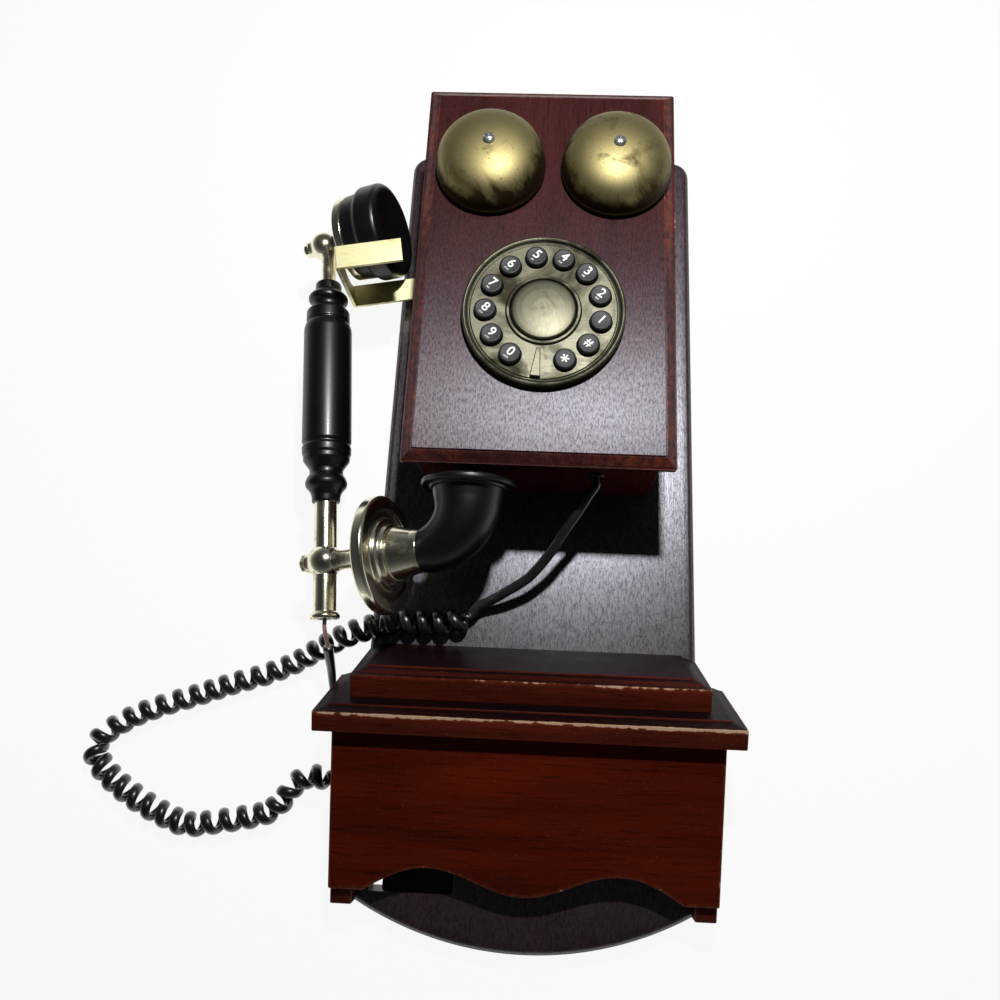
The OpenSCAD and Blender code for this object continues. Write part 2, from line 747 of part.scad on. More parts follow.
disc_front = disc_x + 16 * e;
mic_r = 13;
mic_h = 8;
module transmitter_disc()
    color(brass)
        handset_frame()
            translate([0, -tx_drop, 0])
                along_x()
                    difference() {
                        rotate_extrude($fn = 72)
                            polygon([[0, arm_end], [7.6 * e, arm_end], [8.6 * e, disc_x - 5 * e],
                                [11 * e, disc_x - 1.6 * e], [15 * e, disc_x + 0.6 * e], [20 * e, disc_x + 2 * e],
                                [disc_r - 6 * e, disc_x + 3.6 * e], [disc_r - 1.6 * e, disc_x + 4.8 * e],
                                [disc_r, disc_x + 6 * e], [disc_r, disc_x + 11 * e],
                                [disc_r - 1.2 * e, disc_x + 12.4 * e], [disc_r - 8 * e, disc_x + 12.6 * e],
                                [disc_r - 9.4 * e, disc_x + 10.8 * e], [disc_r - 12.6 * e, disc_x + 10.8 * e],
                                [disc_r - 13.4 * e, disc_x + 12.8 * e], [disc_r - 14.8 * e, disc_x + 13.6 * e],
                                [disc_r - 16.4 * e, disc_x + 13 * e], [disc_r - 17.4 * e, disc_front], [0, disc_front]]);
                        translate([0, 0, disc_front - mic_h]) cylinder(r = mic_r + fit, h = mic_h + 1);
                    }

module microphone_capsule()
    color([0.5, 0.5, 0.5])
        handset_frame()
            translate([disc_front - mic_h, -tx_drop, 0]) along_x() cylinder(r = mic_r, h = mic_h - 0.3);

neck_l = 17.5;
horn_x = disc_front + neck_l;
module transmitter_neck()
    color(brass)
        handset_frame()
            translate([0, -tx_drop, 0])
                along_x()
                    rotate_extrude()
                        polygon([[neck_r - horn_wall, disc_front], [neck_r + 3.4, disc_front],
                            [neck_r + 3.2, disc_front + 2], [neck_r + 1.7, disc_front + 8],
                            [neck_r + 0.5, disc_front + 13], [neck_r, horn_x], [neck_r - horn_wall, horn_x]]);

// ---- speaking horn: a hollow tube that widens as it bends up from the neck
horn_turn = 90 - hang_tilt;
horn_sides = 28;
horn_rings = 13;
function horn_mid(t) = let (a = horn_turn * min(t / 0.82, 1), s = horn_straight * max(0, t - 0.82) / 0.18)
    [horn_x + horn_bend * sin(a) + s * cos(a), -tx_drop + horn_bend * (1 - cos(a)) + s * sin(a)];
function horn_dir(t) = horn_turn * min(t / 0.82, 1);
function horn_rad(t) = neck_r + (horn_r - neck_r) * pow(t, 0.8);
function horn_ring(t, r) = [for (j = [0:horn_sides - 1])
    let (a = 360 * j / horn_sides, d = horn_dir(t), m = horn_mid(t), q = r * cos(a))
    [m[0] - q * sin(d), m[1] + q * cos(d), r * sin(a)]];

module mouthpiece_horn() {
    n = horn_sides;
    k = horn_rings;
    pts = [for (w = [0, horn_wall]) for (i = [0:k - 1]) each horn_ring(i / (k - 1), horn_rad(i / (k - 1)) - w)];
    o = k * n;
    color(black)
        handset_frame()
            polyhedron(points = pts, faces = concat(
                [for (i = [0:k - 2]) for (j = [0:n - 1]) let (a = i * n + j, b = i * n + (j + 1) % n)
                    each [[a, a + n, b], [b, a + n, b + n]]],
                [for (i = [0:k - 2]) for (j = [0:n - 1]) let (a = o + i * n + j, b = o + i * n + (j + 1) % n)
                    each [[a, b, a + n], [b, b + n, a + n]]],
                [for (j = [0:n - 1]) let (a = j, b = (j + 1) % n) each [[a, b, o + a], [b, o + b, o + a]]],
                [for (j = [0:n - 1]) let (a = (k - 1) * n + j, b = (k - 1) * n + (j + 1) % n)
                    each [[a, o + a, b], [b, o + a, o + b]]]));
}

module horn_rim()
    color(black)
        handset_frame()
            translate([horn_mid(1)[0], horn_mid(1)[1], 0])
                rotate([0, 0, horn_turn])
                    along_x()
                        rotate_extrude()
                            polygon([[horn_r - horn_wall, 0], [horn_r + 1.4, 0], [horn_r + 2, 1.6], [rim_r - 3, 1.8],
                                [rim_r - 0.8, 1], [rim_r, 1.8], [rim_r, rim_t - 1], [rim_r - 1, rim_t],
                                [rim_r - 6, rim_t], [horn_r + 1, rim_t - 1.6], [horn_r - horn_wall, rim_t - 3]]);

// ---- cord: round tubes along hand-placed points
function unit(v) = v / norm(v);
function tangent(p, i) = unit(p[min(i + 1, len(p) - 1)] - p[max(i - 1, 0)]);
function ring(c, t, r, n) = let (s = unit(cross([0, 0, 1], t)), u = cross(t, s))
    [for (j = [0:n - 1]) c + r * (cos(360 * j / n) * s + sin(360 * j / n) * u)];

module sweep(p, r0, r1, n) {
    m = len(p);
    polyhedron(points = [for (i = [0:m - 1]) each ring(p[i], tangent(p, i), r0 + (r1 - r0) * i / (m - 1), n)],
        faces = concat([[for (j = [0:n - 1]) j]], [[for (j = [n - 1:-1:0]) (m - 1) * n + j]],
            [for (i = [0:m - 2]) for (j = [0:n - 1]) let (a = i * n + j, b = i * n + (j + 1) % n)
                each [[a, a + n, b], [b, a + n, b + n]]]));
}

tube_tip = [-hs_x - tube_end * sin(hang_tilt), -hs_y + tube_end * cos(hang_tilt), hs_z];
tip_dir = [sin(hang_tilt), -cos(hang_tilt), 0];
boot_top = [-118.7, -338, 41];
boot_low = [-119.5, -360, 18];
wire_path = [tube_tip, tube_tip + 5 * tip_dir, [-118.9, -333.5, 46], boot_top];
boot_path = [boot_top, [-118.9, -344, 34], [-119.2, -351, 26], boot_low];
upper_path = [boot_low, [-119.3, -367, 11], [-117, -376, 6], [-112, -385, 4], [-107, -394, 4],
    [-104.5, -403, 4.5], [-105, -410, 6], [-109, -414, 7.3], [-113, -414.3, 7.4]];
coil_path = [[-113, -414.3, 7.4], [-124, -413.3, 7.4], [-132, -413.5, 7.4], [-139, -418, 7.4], [-145, -427, 7.4],
    [-154, -434.5, 7.4], [-168, -438, 7.4], [-184, -441, 7.4], [-200, -443, 7.4], [-214, -439, 7.4],
    [-232, -431, 7.4], [-247, -422, 7.4], [-257, -414, 7.4], [-263, -406, 7.4], [-263, -399, 7.4],
    [-257, -392, 7.4], [-243, -383, 7.4], [-225, -375.5, 7.4], [-206, -369, 7.4], [-184, -361, 7.4],
    [-164, -354.5, 7.4], [-148, -347.5, 8], [-135, -340, 11], [-121, -333, 18], [-108, -327.5, 22.5],
    [-92, -322.5, 22.6], [-75, -320.3, 22.6], [-56, -320.3, 22.6], [-46, -318.6, 22.6], [-38, -314.5, 22.6]];
grommet_lip = 2;
lower_path = [[-38, -314.5, 22.6], [-34, -309.5, 23.5], [-27, -306, 25], [-18, -301.2, 30], [-3, -291.7, 36],
    [9.4, -277.7, 45], [16.5, -266.8, 51], [24, -255.9, 56], [30, -246, 59.4], [grommet_x, -239.5, grommet_z],
    [grommet_x, case_low_y - grommet_lip, grommet_z]];

module handset_wire() color([0.6, 0.5, 0.48]) sweep(wire_path, wire_r, wire_r, 8);
module cord_boot() color(black) sweep(boot_path, cord_r + 1, cord_r, 10);
module cord_upper_tail() color(black) sweep(upper_path, cord_r, cord_r, 8);
module cord_coil() color(black) sweep(coil_path, coil_r, coil_r, 12);
module cord_lower_tail() color(black) sweep(lower_path, cord_r, cord_r, 8);

module cord_grommet()
    color(black)
        translate([grommet_x, case_low_y, grommet_z])
            rotate([-90, 0, 0]) {
                cylinder(r = grommet_r - fit, h = wall_t);
                translate([0, 0, -grommet_lip]) cylinder(r = grommet_r + 1.6, h = grommet_lip);
            }

backboard();
case_left_side();
case_right_side();
case_top();
case_bottom();
front_panel();
desk_slab();
desk_raised_panel();
desk_left_cheek();
desk_right_cheek();
desk_apron();
line_jack();
gong_left();
gong_right();
gong_post_left();
gong_post_right();
gong_screw_left();
gong_screw_right();
dial_plate();
dial_centre_cap();
finger_stop();
keypad_mat();
keypad_board();
key_1();
key_2();
key_3();
key_4();
key_5();
key_6();
key_7();
key_8();
key_9();
key_0();
key_star();
key_hash();
main_board();
hook_bracket();
hook_pivot_pin();
hook_strap();
handset_tube();
handset_grip();
receiver_clamp();
receiver_nut();
receiver_shell();
receiver_cap();
receiver_capsule();
transmitter_clamp();
transmitter_nut();
transmitter_disc();
transmitter_neck();
microphone_capsule();
mouthpiece_horn();
horn_rim();
handset_bush();
cord_grommet();
handset_wire();
cord_boot();
cord_upper_tail();
cord_coil();
cord_lower_tail();
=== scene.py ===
# %% [markdown]
# # A wall telephone with a sloping desk, two gongs and a hanging handset
# The construction model gives the sizes and the moving bodies. This script dresses it: it adds
# rounded, moulded and turned surfaces, their finishes, the coiled cord, the light and the camera.
# Everything stays in the frame of the construction model: x to the right, y up the wall, z forward.

# %% Load the fixed frame
from contextlib import contextmanager
from math import acos, asin, atan2, cos, pi, radians, sin

import bmesh
import bpy
import numpy as np
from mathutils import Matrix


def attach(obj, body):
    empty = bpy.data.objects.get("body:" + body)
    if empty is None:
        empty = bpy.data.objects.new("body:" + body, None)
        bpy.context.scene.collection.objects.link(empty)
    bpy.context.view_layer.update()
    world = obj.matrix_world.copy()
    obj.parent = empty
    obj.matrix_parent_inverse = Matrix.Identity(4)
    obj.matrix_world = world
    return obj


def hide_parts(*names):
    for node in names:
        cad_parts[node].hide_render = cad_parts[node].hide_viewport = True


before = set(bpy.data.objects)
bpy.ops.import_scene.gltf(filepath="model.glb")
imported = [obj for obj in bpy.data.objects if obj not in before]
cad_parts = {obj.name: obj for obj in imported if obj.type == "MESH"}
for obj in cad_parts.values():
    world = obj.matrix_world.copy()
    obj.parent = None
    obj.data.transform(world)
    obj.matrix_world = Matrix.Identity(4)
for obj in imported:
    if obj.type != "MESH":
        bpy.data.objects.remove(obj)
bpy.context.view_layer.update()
bpy.context.scene.view_settings.view_transform = "Standard"


def place(name, data):
    """A new object with this data, linked into the scene."""
    thing = bpy.data.objects.new(name, data)
    bpy.context.scene.collection.objects.link(thing)
    return thing


# %% [markdown]
# ## The camera
# The telephone lies on its back and is seen from above its lower end. The camera comes first,
# because every choice of detail depends on what it sees. Its place was worked out from straight
# edges of the case, so it needs no aiming at a target.

# %% Camera
def place_camera(location, degrees, lens, shift):
    """A 36 mm wide camera at a location in metres, turned by three Euler angles in degrees."""
    camera_data = bpy.data.cameras.new("record_camera")
    camera_data.sensor_width = 36
    camera_data.lens = lens
    camera_data.shift_x, camera_data.shift_y = shift
    camera_data.clip_start = 0.01
    camera = place("record_camera", camera_data)
    camera.location = location
    camera.rotation_euler = [radians(a) for a in degrees]
    bpy.context.scene.camera = camera


place_camera(location=(0.0039632, -0.3600941, 0.4858643), degrees=(14.69461, 1.22684, 2.45627),
             lens=27.131, shift=(-0.020007, -0.002538))
print("camera placed")

# %% [markdown]
# ## Surfaces from grids
# Every new piece is a grid of points: rings with the same number of points each. It could be
# pushed about by hand, but a formula gives the same piece each time and one number changes it.
# One function turns any grid into a closed mesh. A ring that shrinks to a point becomes a pole, an
# open end gets a flat face, and a signed volume tells whether the faces point outwards.

# %% Grid to mesh
MM = 0.001
SMOOTH_BELOW = radians(32)


@contextmanager
def editing(mesh):
    """Opens a mesh as a bmesh, and writes it back afterwards."""
    shell = bmesh.new()
    shell.from_mesh(mesh)
    yield shell
    shell.to_mesh(mesh)
    shell.free()


def shaded(mesh, sharp=SMOOTH_BELOW):
    """Smooth shading, with a hard line where two faces meet at more than the sharp angle."""
    mesh.shade_smooth()
    mesh.set_sharp_from_angle(angle=sharp)
    return mesh


def settle(mesh, sharp=SMOOTH_BELOW):
    """Joins doubled points, closes open ends, turns the faces outwards and shades the mesh."""
    with editing(mesh) as shell:
        bmesh.ops.remove_doubles(shell, verts=shell.verts, dist=2e-6)
        bmesh.ops.holes_fill(shell, edges=[e for e in shell.edges if e.is_boundary], sides=0)
        if shell.calc_volume(signed=True) < 0:
            bmesh.ops.reverse_faces(shell, faces=shell.faces)
    return shaded(mesh, sharp)


def skin(name, rings, loop=False, sharp=SMOOTH_BELOW, **amounts):
    """A mesh over a grid in millimetres, (rows, points in a ring, 3). loop joins the last row to the
    first. Each amount, such as worn, is a number for every row or point, kept as an attribute."""
    rings = np.asarray(rings, float) * MM
    rows, count = rings.shape[:2]
    i = np.arange(rows if loop else rows - 1)[:, None]
    j = np.arange(count)[None, :]
    up, side = (i + 1) % rows, (j + 1) % count
    quads = np.stack([i * count + j, i * count + side, up * count + side, up * count + j], -1)
    mesh = bpy.data.meshes.new(name)
    mesh.from_pydata(rings.reshape(-1, 3), [], quads.reshape(-1, 4))
    for key, values in amounts.items():
        amount = np.broadcast_to(np.asarray(values, float).reshape(rows, -1), (rows, count))
        layer = mesh.attributes.new(key, "FLOAT", "POINT")
        layer.data.foreach_set("value", np.ascontiguousarray(amount.reshape(-1), np.float32))
    return settle(mesh, sharp)


made = []


def add_piece(name, mesh, body, slot, finish, *nodes):
    """Puts a mesh in the scene on one body, with its finish, in place of the CAD nodes named."""
    piece = place(name, mesh)
    mesh.materials.clear()
    mesh.materials.append(finish)
    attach(piece, body)
    if nodes:
        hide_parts(*nodes)
    made.append(piece)
    return piece


def points_of(mesh):
    """A mesh's points as an array."""
    points = np.empty(len(mesh.vertices) * 3)
    mesh.vertices.foreach_get("co", points)
    return points.reshape(-1, 3)


def round_angles(sides):
    """Even angles once round, in radians."""
    return np.linspace(0, 2 * pi, sides, endpoint=False)


def at_height(ring, z):
    """A flat ring of (x, y) points with one z for all of them."""
    return np.column_stack([ring, np.full(len(ring), z)])


print("grid helpers ready")

# %% [markdown]
# ## Frames of the tilted pieces
# The handset hangs a little askew, turned towards the case, and the desk's lid slopes. A piece is
# drawn in its own straight frame, which keeps its formula simple, and a matrix carries it.

# %% Placing matrices
def turn_about(axis, degrees):
    """The 4 by 4 matrix of a turn about x, y or z."""
    c, s = cos(radians(degrees)), sin(radians(degrees))
    a, b = {"x": (1, 2), "y": (2, 0), "z": (0, 1)}[axis]
    m = np.eye(4)
    m[a, a] = m[b, b] = c
    m[a, b], m[b, a] = -s, s
    return m


def shift_by(x, y, z):
    """The 4 by 4 matrix of a move in millimetres."""
    m = np.eye(4)
    m[:3, 3] = x, y, z
    return m


def carry(points, matrix):
    """Every point of an array times a placing matrix."""
    points = np.asarray(points, float)
    return points @ matrix[:3, :3].T + matrix[:3, 3]


HANDSET = shift_by(-143.3, -79.6, 50) @ turn_about("z", 5.5) @ turn_about("y", -16)
DOWN_TO_HORN = HANDSET @ shift_by(0, -211, 0)
ALONG_X = turn_about("y", 90)
ALONG_Y = turn_about("x", -90)
DESK = shift_by(0, -371.4, 73) @ turn_about("x", 20)
DIAL = shift_by(0, -150.5, 98)
print("handset frame at", HANDSET[:3, 3])

# %% [markdown]
# ## The cord
# The cord leaves the tube as a thin sleeved wire, goes into a tapered boot, runs down behind the
# desk's edge, is wound into a long springy coil, and goes into the bottom of the case. A curve
# object with a bevel would do, but the thickness and the colour change along it, so it is one mesh
# tube about a smooth line through the route's points, in millimetres. Over the coil the line goes
# round the route. The wire starts 6 mm inside the tube, so that no gap shows when it is lifted.

# %% Route of the cord
WIRE = [(-120.44, -317.01, 50), (-119.866, -322.98, 50), (-119.387, -327.957, 50), (-118.9, -333.5, 46),
        (-118.7, -338, 41)]
BOOT = [(-118.9, -344, 34), (-119.2, -351, 26), (-119.5, -360, 18)]
UPPER_TAIL = [(-119.3, -367, 11), (-117, -376, 6), (-112, -385, 4), (-107, -394, 4), (-104.5, -403, 4.5),
              (-105, -410, 6), (-109, -414, 7.3), (-113, -414.3, 7.4)]
COIL_HEIGHT = 7.4
COIL = [(x, y, COIL_HEIGHT) for x, y in (
    (-124, -413.3), (-132, -413.5), (-139, -418), (-145, -427), (-154, -434.5), (-168, -438), (-184, -441),
    (-200, -443), (-214, -439), (-232, -431), (-247, -422), (-257, -414), (-263, -406), (-263, -399),
    (-257, -392), (-243, -383), (-225, -375.5), (-206, -369), (-184, -361), (-164, -354.5))]
COIL += [(-148, -347.5, 8), (-135, -340, 11), (-121, -333, 18), (-108, -327.5, 22.5), (-92, -322.5, 22.6),
         (-75, -320.3, 22.6), (-56, -320.3, 22.6), (-46, -318.6, 22.6), (-38, -314.5, 22.6)]
LOWER_TAIL = [(-34, -309.5, 23.5), (-27, -306, 25), (-18, -301.2, 30), (-3, -291.7, 36), (9.4, -277.7, 45),
              (16.5, -266.8, 51), (24, -255.9, 56), (30, -246, 59.4), (34, -239.5, 60), (34, -235.5, 60)]
CORD_THICK, CORD_WIDE = 4.0, 6.0
COIL_TURNS = 42.25
COIL_RADIUS, PUSHED_TOGETHER = 5.3, 0.8
COIL_ENDS = 10


def smooth_line(points, count):
    """A Catmull-Rom line: a cubic in each span, whose slope at a point is half the step between
    its two neighbours, sampled at count even steps. Also returns the steps' and points' distances."""
    p = np.asarray(points, float)
    ends = np.vstack([2 * p[0] - p[1], p, 2 * p[-1] - p[-2]])
    slope = (ends[2:] - ends[:-2]) / 2
    t = np.linspace(0, 1, 24, endpoint=False)[None, :, None]
    a, b = p[:-1, None], p[1:, None]
    u, v = slope[:-1, None], slope[1:, None]
    line = ((2 * t**3 - 3 * t**2 + 1) * a + (t**3 - 2 * t**2 + t) * u
            + (3 * t**2 - 2 * t**3) * b + (t**3 - t**2) * v)
    line = np.vstack([line.reshape(-1, 3), p[-1]])
    run = np.concatenate([[0], np.cumsum(np.linalg.norm(np.diff(line, axis=0), axis=1))])
    even = np.linspace(0, run[-1], count)
    return np.column_stack([np.interp(even, run, axis) for axis in line.T]), even, run[::24]


def unit(v):
    """Each row of an array divided by its length."""
    return v / np.linalg.norm(v, axis=-1, keepdims=True)


route = WIRE + BOOT + UPPER_TAIL + COIL + LOWER_TAIL
middle, run, at_point = smooth_line(route, count=1500)
wire_end = at_point[len(WIRE) - 1]
boot_end = at_point[len(WIRE + BOOT) - 1]
coil_from = at_point[len(WIRE + BOOT + UPPER_TAIL) - 1]
coil_to = at_point[len(WIRE + BOOT + UPPER_TAIL + COIL) - 1]
print("route", round(run[-1]), "mm, of which the coil takes", round(coil_to - coil_from), "mm")

# %% Winding the coil and its tube
def ramp(x, a, b):
    """A smooth step from 0 at a to 1 at b: 3t squared less 2t cubed."""
    t = np.clip((x - a) / (b - a), 0, 1)
    return t * t * (3 - 2 * t)


def wind(middle, run):
    """The wound line: middle + offset (cos phase, sin phase) across it. The offset is the coil's
    radius, with a little more where it is pushed together, and fades to 0 at the coil's ends.
    The pitch drifts by two slow sines."""
    along = unit(np.gradient(middle, axis=0))
    across = unit(np.cross([0, 0, 1.0], along))
    upward = np.cross(along, across)
    share = np.clip((run - coil_from) / (coil_to - coil_from), 0, 1)
    drift = 0.0016 * np.sin(2 * pi * 3.2 * share) + 0.0011 * np.sin(2 * pi * 8.3 * share)
    phase = 2 * pi * COIL_TURNS * (share + drift * ramp(1 - share, 0, 0.1))
    offset = COIL_RADIUS + PUSHED_TOGETHER * ramp(share, 0.72, 0.85)
    offset = offset * ramp(run, coil_from, coil_from + COIL_ENDS) * (1 - ramp(run, coil_to - COIL_ENDS, coil_to))
    outward = np.cos(phase)[:, None] * across + np.sin(phase)[:, None] * upward
    return middle + offset[:, None] * outward, outward


def tube_rings(line, outward, thick, wide, sides):
    """Rings of an oval tube: line + (thick cos a, wide sin a) across it, thin way outwards."""
    along = unit(np.gradient(line, axis=0))
    first = unit(outward - (outward * along).sum(1, keepdims=True) * along)
    second = np.cross(along, first)
    a = round_angles(sides)
    thin = (thick[:, None] * np.cos(a))[..., None] * first[:, None]
    return line[:, None] + thin + (wide[:, None] * np.sin(a))[..., None] * second[:, None]


WIRE_R, BOOT_R, BOOT_TAPER = 1.2, 3.1, 0.9
cord_line, cord_outward = wind(middle, run)
boot = BOOT_R - BOOT_TAPER * np.clip((run - wire_end) / (boot_end - wire_end), 0, 1)
boot = WIRE_R + (boot - WIRE_R) * ramp(run, wire_end - 0.5, wire_end + 0.5)
flat = ramp(run, boot_end - 4, boot_end + 6) * (1 - ramp(run, run[-1] - 5, run[-1] - 1))
thick, wide = (boot + (across / 2 - boot) * flat for across in (CORD_THICK, CORD_WIDE))
cord_rings = tube_rings(cord_line, cord_outward, thick, wide, sides=14)
cord_mesh = skin("coiled_cord", cord_rings, sharp=radians(60), along=run)
steps = np.diff(cord_line, axis=0)
lengths = np.linalg.norm(steps, axis=1)
turning = np.arccos(np.clip((unit(steps)[1:] * unit(steps)[:-1]).sum(1), -1, 1))
CORD_LENGTH = float(lengths.sum()) * MM
print("tightest bend", round(float((lengths[1:] / np.maximum(turning, 1e-6)).min()), 2), "mm")
print("cord length", round(CORD_LENGTH, 3), "m")

# %% [markdown]
# ## Finishes
# A finish is a small graph of nodes. They all read Object coordinates, which are metres here, so a
# noise of scale 400 has grains of about 2 mm. One class keeps the graphs short, and the sky uses it
# too. A number that is the same everywhere is set on the shader itself.

# %% Node helper
def tint(colour):
    """A colour from 0 to 255 as light values: (c + 0.055) / 1.055, to the power 2.4."""
    c = np.array(colour) / 255
    light = np.where(c <= 0.04045, c / 12.92, ((c + 0.055) / 1.055) ** 2.4)
    return (*[float(v) for v in light], 1.0)


class Nodes:
    """A node tree in the making. Each method adds a node, links it and gives back its output."""

    def __init__(self, tree, coordinates):
        self.tree = tree
        self.where = self.add("TexCoord").outputs[coordinates]

    def add(self, kind, inputs=None, **settings):
        """A new node. Its settings come first, because they can change what its inputs are."""
        node = self.tree.nodes.new("ShaderNode" + kind)
        for key, value in settings.items():
            setattr(node, key, value)
        for socket, source in (inputs or {}).items():
            self.join(source, node.inputs[socket])
        return node

    def join(self, source, target):
        """Links an output to an input, or gives the input a constant."""
        if isinstance(source, bpy.types.NodeSocket):
            self.tree.links.new(source, target)
        else:
            target.default_value = source

    def stretched(self, scale, turn=(0, 0, 0)):
        turn = [radians(a) for a in turn]
        return self.add("Mapping", {"Vector": self.where, "Scale": scale, "Rotation": turn}).outputs[0]

    def noise(self, scale, detail=4, rough=0.55, bend=0.0, vector=None):
        return self.add("TexNoise", {"Vector": vector or self.where, "Scale": scale, "Detail": detail,
                                               "Roughness": rough, "Distortion": bend}).outputs["Fac"]

    def height(self, vector):
        return self.add("SeparateXYZ", {0: vector}).outputs["Z"]

    def ramp(self, factor, *stops):
        node = self.add("ValToRGB", {"Fac": factor})
        band = node.color_ramp
        while len(band.elements) < len(stops):
            band.elements.new(0.5)
        for element, (spot, colour) in zip(band.elements, stops):
            element.position = spot
            element.color = colour if isinstance(colour, tuple) else (colour, colour, colour, 1)
        return node.outputs["Color"]

    def mix(self, factor, a, b):
        return self.add("Mix", {0: factor, 6: a, 7: b}, data_type="RGBA").outputs[2]

    def sum(self, how, a, b):
        return self.add("Math", {0: a, 1: b}, operation=how).outputs[0]

    def spread(self, factor, low, high, start=0.0, end=1.0):
        """Carries start..end to low..high, and holds it there beyond."""
        return self.add("MapRange", {"Value": factor, "From Min": start, "From Max": end,
                                               "To Min": low, "To Max": high}).outputs["Result"]

    def attribute(self, name):
        return self.add("Attribute", attribute_name=name).outputs["Fac"]


class Finish(Nodes):
    """A material in the making, with its shader, whose constants are set by name."""

    def __init__(self, name, **constants):
        self.material = bpy.data.materials.new(name)
        self.material.use_nodes = True
        super().__init__(self.material.node_tree, "Object")
        self.shader = next(n for n in self.tree.nodes if n.type == "BSDF_PRINCIPLED")
        for socket, value in constants.items():
            self.shader.inputs[socket.replace("_", " ")].default_value = value

    def bump(self, height, distance, strength=0.5):
        bump = self.add("Bump", {"Height": height, "Distance": distance, "Strength": strength})
        for socket in ("Normal", "Coat Normal"):
            self.join(bump.outputs["Normal"], self.shader.inputs[socket])

    def surface(self, colour, rough):
        self.join(colour, self.shader.inputs["Base Color"])
        self.join(rough, self.shader.inputs["Roughness"])
        return self.material


print("finish helper ready")

# %% [markdown]
# ## Varnished wood
# The case is a soft brown wood under a dark red stain and a satin varnish. The stain drifts along
# the grain, and fine pores are nearly black. The varnish is old and rough, and turns one small lamp
# into a wide, mottled sheen. Where a corner was knocked, the pale wood shows: the corners carry a
# value called worn, and noise decides where it bites.

# %% Wood finishes
PALE_WOOD, RUBBED_WOOD, PORE, DUST = (214, 178, 146), (128, 58, 36), (10, 4, 3), (150, 138, 138)
SIDE_GLOSS, DULL_GLOSS, FULL_GLOSS = (96, 84, 86), (150, 150, 164), (240, 239, 250)


def varnished(name, stain, grain, pore, coat=(0.0, 0.4), sheen=(1.17, 0.42, 0.62), across=0.0, worn_at=0.62,
              relief=0.00012, front=None):
    """Wood in two shades of stain, or of front for the faces that look out of the wall. grain
    stretches the figure and pore the pores. coat is a thin clear coat's weight and roughness; sheen
    is the varnish's index and its lowest and highest roughness, and across spreads it across the
    grain. The gloss is dark on the side faces, and wear bites where it passes worn_at."""
    f = Finish(name, Coat_Weight=coat[0], Coat_Roughness=coat[1], IOR=sheen[0], Anisotropic=across)
    f.join(f.add("CombineXYZ", {"X": 1.0}).outputs[0], f.shader.inputs["Tangent"])
    figure = f.ramp(f.noise(1.0, 5, 0.6, 0.6, f.stretched(grain)), (0.3, 0.0), (0.72, 1.0))
    pores = f.noise(1.0, 3, 0.7, 0.0, f.stretched(pore))
    outwards = f.ramp(f.height(f.add("TexCoord").outputs["Normal"]), (0.6, 0.0), (0.8, 1.0))
    colour = f.mix(figure, *map(tint, stain))
    if front:
        colour = f.mix(outwards, colour, f.mix(figure, *map(tint, front)))
    colour = f.mix(f.ramp(f.noise(14, 3, 0.5), (0.35, 0.0), (0.7, 0.4)), colour, tint(stain[0]))
    colour = f.mix(f.ramp(pores, (0.3, 0.7), (0.46, 0.0)), colour, tint(PORE))
    colour = f.mix(f.ramp(f.noise(1500, 2, 0.5), (0.69, 0.0), (0.75, 0.4)), colour, tint(DUST))
    bite = f.sum("MULTIPLY", f.attribute("worn"), f.noise(210, 5, 0.65))
    patch = f.sum("MULTIPLY", bite, f.spread(f.noise(22, 2, 0.5), 0.55, 1.75))
    chipped = f.ramp(patch, (worn_at, 0.0), (worn_at + 0.05, 1.0))
    colour = f.mix(f.ramp(patch, (worn_at - 0.3, 0.0), (worn_at, 0.65)), colour, tint(RUBBED_WOOD))
    colour = f.mix(chipped, colour, tint(PALE_WOOD))
    height = f.sum("ADD", f.sum("MULTIPLY", pores, 0.6), f.sum("MULTIPLY", f.noise(1100, 3, 0.6), 0.4))
    f.bump(f.sum("SUBTRACT", height, f.sum("MULTIPLY", chipped, 1.4)), relief)
    specks = f.stretched(tuple(max(320, 1.3 * v) for v in pore))
    mottle = f.ramp(f.noise(1.0, 3, 0.8, 0.0, specks), (0.36, 0.0), (0.58, 1.0))
    glossy = f.mix(outwards, tint(SIDE_GLOSS), f.mix(mottle, tint(DULL_GLOSS), tint(FULL_GLOSS)))
    f.join(glossy, f.shader.inputs["Specular Tint"])
    return f.surface(colour, f.spread(f.noise(60, 4, 0.6), *sheen[1:]))


backboard_wood = varnished("backboard_wood", ((32, 13, 14), (54, 27, 27)), (70, 5, 70), (900, 45, 900),
                           sheen=(2.8, 0.33, 0.39), relief=0.00016)
panel_wood = varnished("panel_wood", ((42, 15, 13), (66, 28, 25)), (60, 7, 60), (800, 60, 800), (0.0, 0.3),
                       (1.66, 0.38, 0.44), across=0.7, worn_at=0.66)
case_wood = varnished("case_wood", ((66, 20, 12), (104, 40, 24)), (70, 70, 6), (800, 800, 50), (0.3, 0.3))
lid_wood = varnished("lid_wood", ((19, 9, 10), (36, 17, 17)), (7, 70, 70), (60, 900, 900), (0.05, 0.4),
                     worn_at=0.46, front=((76, 22, 12), (110, 42, 27)))
apron_wood = varnished("apron_wood", ((71, 17, 6), (114, 33, 11)), (6, 60, 60), (45, 900, 900), (0.06, 0.35),
                       worn_at=0.6)
print("wood finishes:", [m.name for m in bpy.data.materials if m.name.endswith("_wood")])

# %% [markdown]
# ## Brass
# All the brass is plated or lacquered, and each part has aged in its own way. The strap is bright
# from handling, the gongs are blotchy, and the dial plate was brushed and darkened. One graph
# covers them: noise chooses between clean metal and tarnish, and roughens the tarnish.

